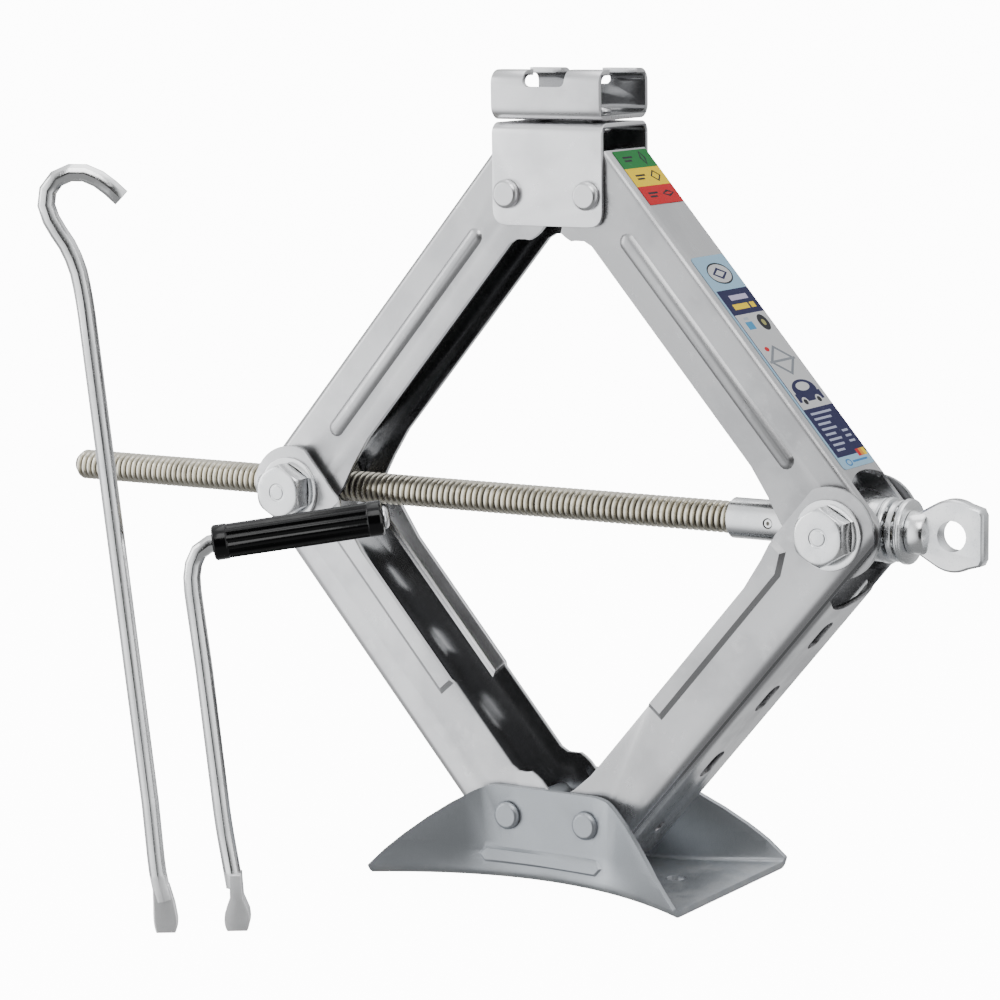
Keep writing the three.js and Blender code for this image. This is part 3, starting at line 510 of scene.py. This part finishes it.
def spun(name, profile, axis, centre, steps=STEPS):
    """A turned solid. The profile lists (radius, along) in millimetres and ends on the axis or closes."""
    turn = Vector((0.0, 0.0, 1.0)).rotation_difference(Vector(axis)).to_matrix()
    shape = bmesh.new()
    rings = []
    for radius, along in profile:
        if radius == 0:
            rings.append([shape.verts.new(turn @ Vector((0.0, 0.0, along * MM)) + centre)])
            continue
        ring = []
        for step in range(steps):
            angle = math.tau * step / steps
            spot = Vector((radius * math.cos(angle), radius * math.sin(angle), along)) * MM
            ring.append(shape.verts.new(turn @ spot + centre))
        rings.append(ring)
    closed = len(rings[0]) > 1
    pairs = list(zip(rings, rings[1:] + rings[:1])) if closed else list(zip(rings, rings[1:]))
    for low, high in pairs:
        for step in range(steps):
            after = (step + 1) % steps
            corners = [low[step % len(low)], low[after % len(low)],
                       high[after % len(high)], high[step % len(high)]]
            shape.faces.new(list(dict.fromkeys(corners)))
    bmesh.ops.recalc_face_normals(shape, faces=shape.faces)
    mesh = bpy.data.meshes.new(name)
    shape.to_mesh(mesh)
    shape.free()
    smooth_by_angle(mesh, 32)
    return link(bpy.data.objects.new(name, mesh))


def millimetres(node):
    """The lowest and highest corners of a CAD part, in millimetres."""
    low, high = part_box(node)
    return low / MM, high / MM


HEAD_START = {"base": 26.7, "top_": 20.2}  # from the middle of the jack, in millimetres
PIN_SHANK = 5.0


def pin(node, centre, finish):
    """A riveted pin: the shank and two flat heads, each with its corner turned off."""
    low, high = millimetres(node)
    far = high.y
    head = (high.x - low.x) / 2
    inner = HEAD_START[node[:4]]
    side = [(PIN_SHANK, inner), (head, inner), (head, far - 1.3), (head - 0.15, far - 1.0),
            (head - 1.2, far - 0.1), (head - 1.5, far), (head - 1.9, far), (0, far)]
    profile = [(radius, -along) for radius, along in reversed(side)] + side
    return fit(spun(node + "_piece", profile, (0, 1, 0), centre), node, finish)


for node, centre in (("base_pin_left", BASE_LEFT_PIN), ("base_pin_right", BASE_RIGHT_PIN)):
    pin(node, centre, FOOT)
for node, centre in (("top_pin_left", TOP_LEFT_PIN), ("top_pin_right", TOP_RIGHT_PIN)):
    pin(node, centre, PIN_COAT)

# %% [markdown]
# ## Hinge hardware
# Each hinge has a hexagon bolt at the front and at the rear, and a washer under it. A hexagon head is
# a prism whose corners are turned off by a cone, so it is made that way: a six-sided prism, cut by a
# spun cone with a Boolean modifier. A faint ring is turned into the face of the head.

# %% Bolts and washers
def prism(name, sides, radius, low, high, centre, turn):
    """A straight prism along Y."""
    shape = bmesh.new()
    rims = []
    for along in (low, high):
        rim = []
        for side in range(sides):
            angle = math.tau * side / sides + turn
            spot = Vector((radius * math.cos(angle), along, radius * math.sin(angle))) * MM
            rim.append(shape.verts.new(spot + centre))
        rims.append(rim)
    shape.faces.new(rims[0])
    shape.faces.new(rims[1])
    for side in range(sides):
        after = (side + 1) % sides
        shape.faces.new([rims[0][side], rims[0][after], rims[1][after], rims[1][side]])
    bmesh.ops.recalc_face_normals(shape, faces=shape.faces)
    mesh = bpy.data.meshes.new(name)
    shape.to_mesh(mesh)
    shape.free()
    return link(bpy.data.objects.new(name, mesh))


def carve(piece, tool, operation):
    """Cut or join a piece with another, which is used up."""
    step = piece.modifiers.new(operation, "BOOLEAN")
    step.operation = operation
    step.solver = "EXACT"
    step.object = tool
    settle(piece)
    bpy.data.objects.remove(tool)
    return piece


BOLT_SEAT = 24.9  # where a bolt's head starts, from the middle of the jack


def bolt(node, hinge, side):
    low, high = millimetres(node)
    far = max(abs(low.y), abs(high.y))
    near = BOLT_SEAT
    corner = (high.x - low.x) / 2 / math.cos(math.pi / 6)
    bounds = sorted((side * near, side * far))
    head = prism(node + "_piece", 6, corner, bounds[0], bounds[1], hinge, math.pi / 2)
    cone = [(0, near - 1), (corner + 1, near - 1), (corner + 0.2, far - 2.0), (corner - 1.2, far - 0.5),
            (corner - 2.6, far), (4.2, far), (3.9, far - 0.25), (3.3, far - 0.25), (3.0, far), (0, far)]
    cutter = spun("cone", cone, (0, side, 0), hinge)
    carve(head, cutter, "INTERSECT")
    shank = [(0, 8.4), (6.2, 8.4), (7.0, 9.2), (7.0, near + 1), (0, near + 1)]
    carve(head, spun("shank", shank, (0, side, 0), hinge), "UNION")
    edge = head.modifiers.new("edge", "BEVEL")
    edge.width = 0.25 * MM
    edge.segments = 2
    edge.limit_method = "ANGLE"
    edge.angle_limit = math.radians(38)
    settle(head)
    smooth_by_angle(head.data, 30)
    return fit(head, node, PLATED)


def washer(node, hinge, side):
    profile = [(7.3, 22.8), (14.5, 22.8), (14.9, 23.0), (15.0, 23.4), (15.0, 24.1), (14.8, 24.45),
               (14.2, 24.6), (11.8, 24.6), (11.6, 24.5), (7.6, 24.5), (7.3, 24.3)]
    return fit(spun(node + "_piece", profile, (0, side, 0), hinge), node, PLATED)


for name, hinge in (("left", LEFT_HINGE), ("right", RIGHT_HINGE)):
    for face, side in (("front", -1), ("rear", 1)):
        bolt(f"hinge_bolt_{name}_{face}", hinge, side)
        washer(f"hinge_washer_{name}_{face}", hinge, side)

# %% [markdown]
# ## The trunnions and the thrust bearing
# A trunnion is a cross of two round bars: a barrel tapped for the two hinge bolts, and a boss along the
# screw.
# Both are spun, joined, and bored with Booleans. The bearing beside it is two rings with a ring of balls
# between, each ball a fine sphere held in its cage.

# %% Trunnions
BORE = 7.25


def trunnion(node, hinge):
    low, high = millimetres(node)
    half = high.y
    reach = (high.x - low.x) / 2
    barrel = [(0, -half), (13.2, -half), (14, -half + 0.8), (14, half - 0.8), (13.2, half), (0, half)]
    boss = [(0, -reach), (12.7, -reach), (13.4, -reach + 0.7), (13.4, reach - 0.7), (12.7, reach),
            (0, reach)]
    bore = [(0, -reach - 5), (BORE, -reach - 5), (BORE, reach + 5), (0, reach + 5)]
    body = spun(node + "_piece", barrel, (0, 1, 0), hinge)
    carve(body, spun("boss", boss, (1, 0, 0), hinge), "UNION")
    carve(body, spun("bore", bore, (1, 0, 0), hinge), "DIFFERENCE")
    for side in (-1, 1):
        tapped = [(0, 8), (BORE, 8), (BORE, half + 5), (0, half + 5)]
        carve(body, spun("tapped", tapped, (0, side, 0), hinge), "DIFFERENCE")
    smooth_by_angle(body.data, 30)
    return fit(body, node, PLATED)


trunnion("nut_trunnion", LEFT_HINGE)
trunnion("thrust_trunnion", RIGHT_HINGE)

# %% Bearing rings and balls
def race(node):
    """A bearing ring with a turned groove round its rim."""
    low, high = millimetres(node)
    rim = (high.z - low.z) / 2
    start = low.x - RIGHT_HINGE.x / MM
    end = high.x - RIGHT_HINGE.x / MM
    middle = (start + end) / 2
    profile = [(7.1, start), (rim - 0.9, start), (rim - 0.2, start + 0.3), (rim, start + 0.8),
               (rim, middle - 0.3), (rim - 0.25, middle), (rim, middle + 0.3), (rim, end - 0.8),
               (rim - 0.2, end - 0.3), (rim - 0.9, end), (7.1, end)]
    return fit(spun(node + "_piece", profile, (1, 0, 0), RIGHT_HINGE), node, PLATED)


BALL = 2.28
BALL_CIRCLE = 10.4


def ball_cage(node):
    low, high = millimetres(node)
    middle = (low.x + high.x) / 2 - RIGHT_HINGE.x / MM
    ring = [(7.7, middle - 1.3), (12.6, middle - 1.3), (13.0, middle - 0.9), (13.0, middle + 0.9),
            (12.6, middle + 1.3), (7.7, middle + 1.3)]
    cage = spun(node + "_piece", ring, (1, 0, 0), RIGHT_HINGE)
    bends = [math.pi * i / 12 for i in range(1, 12)]
    arc = [(BALL * math.sin(bend), -BALL * math.cos(bend)) for bend in bends]
    for turn in range(0, 360, 40):
        angle = math.radians(turn)
        spot = Vector((middle, BALL_CIRCLE * math.cos(angle), BALL_CIRCLE * math.sin(angle))) * MM
        ball = spun("ball", [(0, -BALL), *arc, (0, BALL)], (1, 0, 0), spot + RIGHT_HINGE, 24)
        carve(cage, ball, "UNION")
    smooth_by_angle(cage.data, 40)
    return fit(cage, node, PLATED)


race("thrust_race_fixed")
race("thrust_race_turning")
ball_cage("thrust_ball_cage")

# %% [markdown]
# ## The lifting screw
# A trapezoidal thread is a shape that repeats every three millimetres while it climbs one pitch per
# turn. The grid of points climbs with it, so the crests stay crisp: going once round joins each column
# to the column one pitch further on. Two planes then cut the ends square, and the cuts are filled.

# %% Thread
PITCH = 3.0
ROUND = 40
# where along one pitch the surface is, and how far down from the crest, 0 to 1
THREAD_FORM = [(0.00, 0.12), (0.04, 0.0), (0.34, 0.0), (0.38, 0.12),
               (0.54, 0.92), (0.58, 1.0), (0.80, 1.0), (0.84, 0.92)]


def threaded_bar(name, start, end, centre):
    """A right-hand thread along X, from start to end in millimetres."""
    shape = bmesh.new()
    per_pitch = len(THREAD_FORM)
    pitches = int((end - start) / PITCH) + 3
    count = pitches * per_pitch
    columns = []
    for step in range(ROUND):
        angle = math.tau * step / ROUND
        column = []
        for i in range(count + per_pitch):
            share, sunk = THREAD_FORM[i % per_pitch]
            along = start + PITCH * (i // per_pitch - 2 + share + step / ROUND)
            chamfer = SCREW_RADIUS - 2.2 + max(0.0, along - start) * 0.95
            radius = min(SCREW_RADIUS - THREAD_DEPTH * sunk, max(chamfer, 4.8))
            spot = Vector((along, radius * math.sin(angle), radius * math.cos(angle)))
            column.append(shape.verts.new(spot * MM + centre))
        columns.append(column)
    for step in range(ROUND):
        last = step == ROUND - 1
        here = columns[step]
        there = columns[0][per_pitch:] if last else columns[step + 1]
        for i in range(count - 1):
            shape.faces.new([here[i], here[i + 1], there[i + 1], there[i]])
    for along, outward in ((start, -1), (end, 1)):
        geometry = shape.verts[:] + shape.edges[:] + shape.faces[:]
        plane = Vector((along * MM, 0, 0)) + centre
        cut = bmesh.ops.bisect_plane(shape, geom=geometry, dist=1e-7, plane_co=plane,
                                     plane_no=(outward, 0, 0), clear_outer=True)
        rim = [item for item in cut["geom_cut"] if isinstance(item, bmesh.types.BMEdge)]
        bmesh.ops.edgenet_fill(shape, edges=rim)
    loose = [v for v in shape.verts if not v.link_faces]
    bmesh.ops.delete(shape, geom=loose, context="VERTS")
    bmesh.ops.recalc_face_normals(shape, faces=shape.faces)
    mesh = bpy.data.meshes.new(name)
    shape.to_mesh(mesh)
    shape.free()
    smooth_by_angle(mesh, 35)
    return link(bpy.data.objects.new(name, mesh))


def lifting_screw():
    low, high = millimetres("lifting_screw")
    collar = millimetres("stop_collar")[0].x
    axis = Vector((0.0, 0.0, LEFT_HINGE.z))
    screw = threaded_bar("lifting_screw_piece", low.x, collar + 4.0, axis)
    plain = [(0, collar + 3.0), (5.0, collar + 3.0), (6.5, collar + 8.0), (6.5, high.x - 0.6),
             (5.9, high.x), (0, high.x)]
    carve(screw, spun("journal", plain, (1, 0, 0), axis), "UNION")
    smooth_by_angle(screw.data, 35)
    return fit(screw, "lifting_screw", THREAD)


screw = lifting_screw()
print("thread faces:", len(screw.data.polygons))

# %% [markdown]
# ## Collar, roll pin and eye
# The collar stops the jack from being wound too far. It is a short tube with a roll pin through it:
# the pin is a rolled strip, so its end shows a small hole. The eye is a flat forging with a round neck
# that sits on the screw's end. It and the saddle's rivets keep the shape of their solids, with softer
# edges.

# %% Collar and roll pin
def stop_collar(node):
    low, high = millimetres(node)
    rim = (high.z - low.z) / 2
    axis = Vector((0.0, 0.0, RIGHT_HINGE.z))
    profile = [(7.25, low.x), (rim - 0.7, low.x), (rim, low.x + 0.7), (rim, high.x - 0.5),
               (rim - 0.5, high.x), (6.8, high.x), (6.8, low.x + 8.3), (7.25, low.x + 8.3)]
    collar = spun(node + "_piece", profile, (1, 0, 0), axis)
    pin_low, pin_high = millimetres("roll_pin")
    middle = Vector(((pin_low.x + pin_high.x) / 2 * MM, 0.0, RIGHT_HINGE.z))
    hole = [(0, -12), (2.35, -12), (2.35, 12), (0, 12)]
    carve(collar, spun("hole", hole, (0, 1, 0), middle, 40), "DIFFERENCE")
    smooth_by_angle(collar.data, 30)
    half = rim - 0.3
    tube = [(0.9, -half), (1.7, -half), (2.0, -half + 0.4), (2.0, half - 0.4), (1.7, half), (0.9, half)]
    fit(spun("roll_pin_piece", tube, (0, 1, 0), middle, 40), "roll_pin", PLATED)
    return fit(collar, node, PLATED)


stop_collar("stop_collar")
rolled("screw_eye", PLATED, 0.5, 3)
for side in ("left", "right"):
    rolled(f"saddle_rivet_{side}", PIN_COAT, 0.3)

# %% [markdown]
# ## The loose rods
# Round bar that was bent cold is a round section swept along a path, and the solid model already has
# it that way, with the flattened tang and the fork forged out of the same bar. A second sweep would
# only have to be joined to those ends again, so the rods are copied and smoothed: the limit for a
# sharp edge is set wide, because the sides of a swept bar meet at small angles.

# %% Rods
for rod in ("hook_rod", "crank_rod"):
    rolled(rod, DRAWN, 0.4, 2, 60)
rolled("grip_end_cap", PLATED, 0.4, 3)
rolled("crank_grip", GRIP_BLACK, 0.5, 3)

# %% [markdown]
# ## Labels
# The driven-side arm carries two printed films. A print is flat, so it is drawn in the shader, on a thin
# film laid on the arm. Distances down the arm and across it turn every panel, bar and icon into
# a few comparisons. Nothing is lettered: bars stand for the lines of print.

# %% Drawing with masks
class Print(Finish):
    """A finish with a pen: it paints shapes over what is already there."""

    def __init__(self, name, ground):
        super().__init__(name, IOR=1.4, Specular_IOR_Level=0.08)
        self.where = self.place()
        self.down = self.along(self.where, TOP_RIGHT_PIN, DOWN_ARM)
        self.across = self.along(self.where, TOP_RIGHT_PIN, ACROSS)
        self.ink = self.mixed(0.0, ground, ground)

    def paint(self, mask, colour):
        self.ink = self.mixed(mask, self.ink, colour)

    def box(self, start, end, left, right, colour):
        inside = (self.down > start) * (self.down < end) * (self.across > left) * (self.across < right)
        self.paint(inside, colour)

    def disc(self, down, across, long, wide, colour):
        u = (self.down - down) / long
        v = (self.across - across) / wide
        self.paint((u * u + v * v) < 1.0, colour)

    def diamond(self, down, across, long, wide, colour):
        reach = abs((self.down - down) / long) + abs((self.across - across) / wide)
        self.paint(reach < 1.0, colour)

    def done(self):
        fade = self.noise(self.where, 150.0, 4.0)
        scuff = self.between(self.noise(self.where, 520.0, 4.0, 0.7), 0.62, 0.74)
        self.feed("Base Color", self.mixed(scuff * 0.25 + fade * 0.06, self.ink, rgb(0.45, 0.46, 0.48)))
        self.feed("Roughness", 0.28 + 0.14 * fade + 0.2 * scuff)
        self.bump(fade, 0.00002, 0.3)
        return self.material


SKY = rgb(0.34, 0.56, 0.74)
NAVY = rgb(0.004, 0.005, 0.060)
WHITE = rgb(0.62, 0.63, 0.64)
DARK = rgb(0.006, 0.007, 0.012)
YELLOW = rgb(1.0, 0.70, 0.0)
RED = rgb(0.60, 0.004, 0.010)
GREEN = rgb(0.0, 0.185, 0.030)


def data_print():
    """Top to bottom: a plain badge, two title bars, a panel of icons, and a panel of print bars."""
    film = Print("data_label_print", SKY)
    film.disc(59.5, 0.5, 5.6, 9.6, DARK)
    film.disc(59.5, 0.5, 4.8, 8.8, WHITE)
    film.diamond(59.5, 0.5, 3.2, 6.2, NAVY)
    film.diamond(59.5, 0.5, 1.9, 4.2, WHITE)
    film.box(68, 81, -12.8, 14.4, NAVY)
    film.box(71.0, 73.6, -6, 9, rgb(0.55, 0.50, 0.70))
    film.box(75.6, 78.4, -8, 5, YELLOW)
    film.box(75.6, 78.4, 6.5, 10.5, YELLOW)
    film.box(81, 131, -12.8, 14.4, WHITE)
    film.box(81, 131, -12.8, -12.2, NAVY)
    film.disc(86.5, 7.0, 4.2, 4.0, DARK)
    film.disc(86.5, 7.0, 1.6, 1.5, rgb(0.35, 0.34, 0.12))
    film.box(85.0, 89.0, -8.0, -2.0, rgb(0.06, 0.30, 0.55))
    film.box(82.6, 84.0, -7.0, -3.0, rgb(0.45, 0.50, 0.56))
    film.diamond(106, 0, 8.0, 10.5, rgb(0.22, 0.24, 0.27))
    film.diamond(106, 0, 6.2, 8.2, WHITE)
    film.box(105.4, 106.6, -11, 11, rgb(0.25, 0.27, 0.30))
    film.disc(99.5, -6, 1.2, 1.8, RED)
    film.disc(121.5, 0.5, 5.0, 9.8, NAVY)
    film.disc(120.0, 0.5, 2.2, 5.6, WHITE)
    film.box(123.0, 127.5, -10.5, 11.5, NAVY)
    film.disc(127.5, -5.5, 2.4, 2.6, WHITE)
    film.disc(127.5, 6.5, 2.4, 2.6, WHITE)
    film.disc(127.5, -5.5, 1.4, 1.6, DARK)
    film.disc(127.5, 6.5, 1.4, 1.6, DARK)
    film.box(131, 156, -12.8, 14.4, NAVY)
    bars = rgb(0.42, 0.45, 0.60)
    for row, end in enumerate([9, 6, 2, 4, 0, 2, 1, -2]):
        film.box(133.2 + 2.7 * row, 134.3 + 2.7 * row, -9, end, bars)
    for row in range(3):
        film.box(143.8 + 2.7 * row, 144.9 + 2.7 * row, 6, 11, bars)
    for place, colour in ((5.0, RED), (7.6, rgb(0.80, 0.30, 0.03)), (10.2, YELLOW)):
        film.box(154.0, 157.6, place, place + 2.6, colour)
    film.disc(159.2, -6.5, 1.8, 2.6, rgb(0.05, 0.22, 0.50))
    film.disc(159.2, -6.5, 1.1, 1.7, SKY)
    film.box(158.7, 159.7, -3, 10, rgb(0.05, 0.22, 0.50))
    return film.done()


def band_print():
    """Three load zones, green, yellow and red, each with the jack at that height as a diamond."""
    film = Print("colour_band_print", GREEN)
    film.box(1.6, 11.3, -20, 20, YELLOW)
    film.box(11.3, 30, -20, 20, RED)
    for centre, long, wide in ((-3.4, 4.0, 2.4), (6.4, 3.2, 4.2), (16.0, 1.9, 5.0)):
        film.diamond(centre, 6.5, long, wide, DARK)
        film.diamond(centre, 6.5, long - 1.1, wide - 1.3, (GREEN, YELLOW, RED)[int((centre + 4) // 9)])
        film.box(centre - 1.4, centre - 0.4, -9.5, -1.5, DARK)
        film.box(centre + 0.4, centre + 1.4, -9.5, -3.5, DARK)
    return film.done()


# %% [markdown]
# The film itself is a thin sheet with round corners. It is drawn as a flat outline in the arm's own
# directions and then given a thickness, so that its edge catches a little light.

# %% Films
WEB_FACE = 19.0
FILM_UNDER, FILM_OVER = 0.04, 0.22  # above the arm's back
FILM_HALF_WIDTH = 14.2


def film_sheet(node, start, end, corner, finish):
    """A thin rounded rectangle lying on the arm, from start to end down the arm."""
    shape = bmesh.new()
    rims = []
    half = FILM_HALF_WIDTH
    corners = [(end - corner, half - corner, 0), (start + corner, half - corner, 90),
               (start + corner, -half + corner, 180), (end - corner, -half + corner, 270)]
    outline = []
    for down, across, turn in corners:
        for i in range(7):
            angle = math.radians(turn + 15 * i)
            outline.append((down + corner * math.cos(angle), across + corner * math.sin(angle)))
    for lift in (FILM_UNDER, FILM_OVER):
        raised = TOP_RIGHT_PIN + OUT_OF_ARM * ((WEB_FACE + lift) * MM)
        rims.append([
            shape.verts.new(raised + DOWN_ARM * (down * MM) + Vector((0.0, across * MM, 0.0)))
            for down, across in outline
        ])
    low, high = rims
    shape.faces.new(low)
    shape.faces.new(high)
    for i in range(len(outline)):
        after = (i + 1) % len(outline)
        shape.faces.new([low[i], low[after], high[after], high[i]])
    bmesh.ops.recalc_face_normals(shape, faces=shape.faces)
    mesh = bpy.data.meshes.new(node)
    shape.to_mesh(mesh)
    shape.free()
    smooth_by_angle(mesh, 30)
    return fit(link(bpy.data.objects.new(node + "_piece", mesh)), node, finish)


film_sheet("data_label", 50.0, 162.0, 2.0, data_print())
film_sheet("colour_band_label", -8.0, 21.0, 0.6, band_print())

# %% [markdown]
# ## Floor and light
# Bright metal shows only what is round it, so the room is most of how it looks. The floor and the
# background are plain white. What the metal mirrors is a different room, made of a few broad
# lobes of light: bright overhead, to the front left and to each side, fainter behind, and a dark gap
# in front where a person would stand. That gap draws the dark line down each round bar.
# The Light Path node tells mirrored rays from the rest, in the world only.

# %% The room
SEEN_WHITE = 14.0
FLOOR_GLOW = 12.2
ROOM_LIGHT = 0.34
# how strong, towards where, and where the lobe starts and is full, near enough as cosines of an angle
LOBES = [
    (1.05, (0.0, 0.1, 0.99), 0.15, 0.95),
    (1.85, (-0.62, -0.78, -0.02), 0.60, 0.97),
    (0.45, (0.30, 0.83, 0.46), 0.70, 0.98),
    (1.20, (0.98, -0.12, 0.0), 0.80, 0.95),
    (1.00, (-0.92, 0.36, -0.1), 0.86, 0.97),
    (0.75, (-0.14, 0.84, -0.53), 0.80, 0.97),
]
GAP = (0.93, (0.53, -0.83, 0.12), 0.78, 0.93)


def studio_world():
    world = bpy.data.worlds.new("studio")
    bpy.context.scene.world = world
    world.use_nodes = True
    room = Board(world.node_tree)
    room.tree.nodes.clear()
    way = room.add("ShaderNodeTexCoord", out="Generated")

    def lobe(strength, direction, start, full):
        return strength * room.between(room.dot(way, direction), start, full)

    light = ROOM_LIGHT + lobe(*LOBES[0])
    for row in LOBES[1:]:
        light = light + lobe(*row)
    values = {"Color": rgb(0.97, 0.985, 1.0), "Strength": light * (1.0 - lobe(*GAP))}
    mirrored = room.add("ShaderNodeBackground", None, values)
    open_air = room.add("ShaderNodeBackground", None, {"Color": rgb(1.0, 1.0, 1.0), "Strength": 0.45})
    seen = room.add("ShaderNodeBackground", None, {"Color": rgb(1.0, 1.0, 1.0), "Strength": SEEN_WHITE})
    camera_ray = room.add("ShaderNodeLightPath", out="Is Camera Ray")
    mirror_ray = room.add("ShaderNodeLightPath", out="Is Glossy Ray")
    lit = room.add("ShaderNodeMixShader", None, {0: mirror_ray, 1: open_air, 2: mirrored})
    both = room.add("ShaderNodeMixShader", None, {0: camera_ray, 1: lit, 2: seen})
    room.add_output(both)


def panel(name, place, target, width, height, power):
    """A soft light panel that faces a target."""
    light = bpy.data.lights.new(name, "AREA")
    light.shape = "RECTANGLE"
    light.size = width
    light.size_y = height
    light.energy = power
    obj = link(bpy.data.objects.new(name, light))
    obj.location = place
    obj.rotation_euler = (Vector(target) - Vector(place)).to_track_quat("-Z", "Y").to_euler()
    return obj


studio_world()
panel("key_panel", (0.6, -1.2, 1.5), (0.0, 0.0, 0.15), 1.0, 1.0, 13.0)
panel("left_panel", (-1.4, -0.7, 0.6), (0.0, 0.0, 0.18), 0.5, 1.4, 6.0)
panel("right_strip", (1.4, 0.5, 0.5), (0.05, 0.0, 0.18), 0.3, 1.4, 4.0)
panel("top_panel", (-0.1, 0.3, 1.9), (0.0, 0.0, 0.1), 1.4, 1.4, 11.0)


# %% [markdown]
# The floor is one wide sheet. It gives off a little light of its own, so it stays white and the
# shadows on it stay soft and faint. Mirrored rays pass through it, for the reason above.

# %% The floor
def floor():
    shape = bmesh.new()
    reach = 30.0
    corners = [(-reach, -reach), (reach, -reach), (reach, reach), (-reach, reach)]
    shape.faces.new([shape.verts.new((x, y, -0.0004)) for x, y in corners])
    mesh = bpy.data.meshes.new("floor")
    shape.to_mesh(mesh)
    shape.free()
    obj = link(bpy.data.objects.new("floor", mesh))
    finish = Finish("floor_white", Roughness=0.7)
    mottle = finish.noise(finish.place(), 3.0, 2.0)
    finish.feed("Base Color", finish.mixed(mottle, rgb(0.93, 0.93, 0.93), rgb(0.91, 0.91, 0.91)))
    finish.shader.inputs["Emission Color"].default_value = rgb(1.0, 1.0, 1.0)
    finish.shader.inputs["Emission Strength"].default_value = FLOOR_GLOW
    obj.data.materials.append(finish.material)
    obj.visible_glossy = False
    obj.visible_diffuse = False


floor()
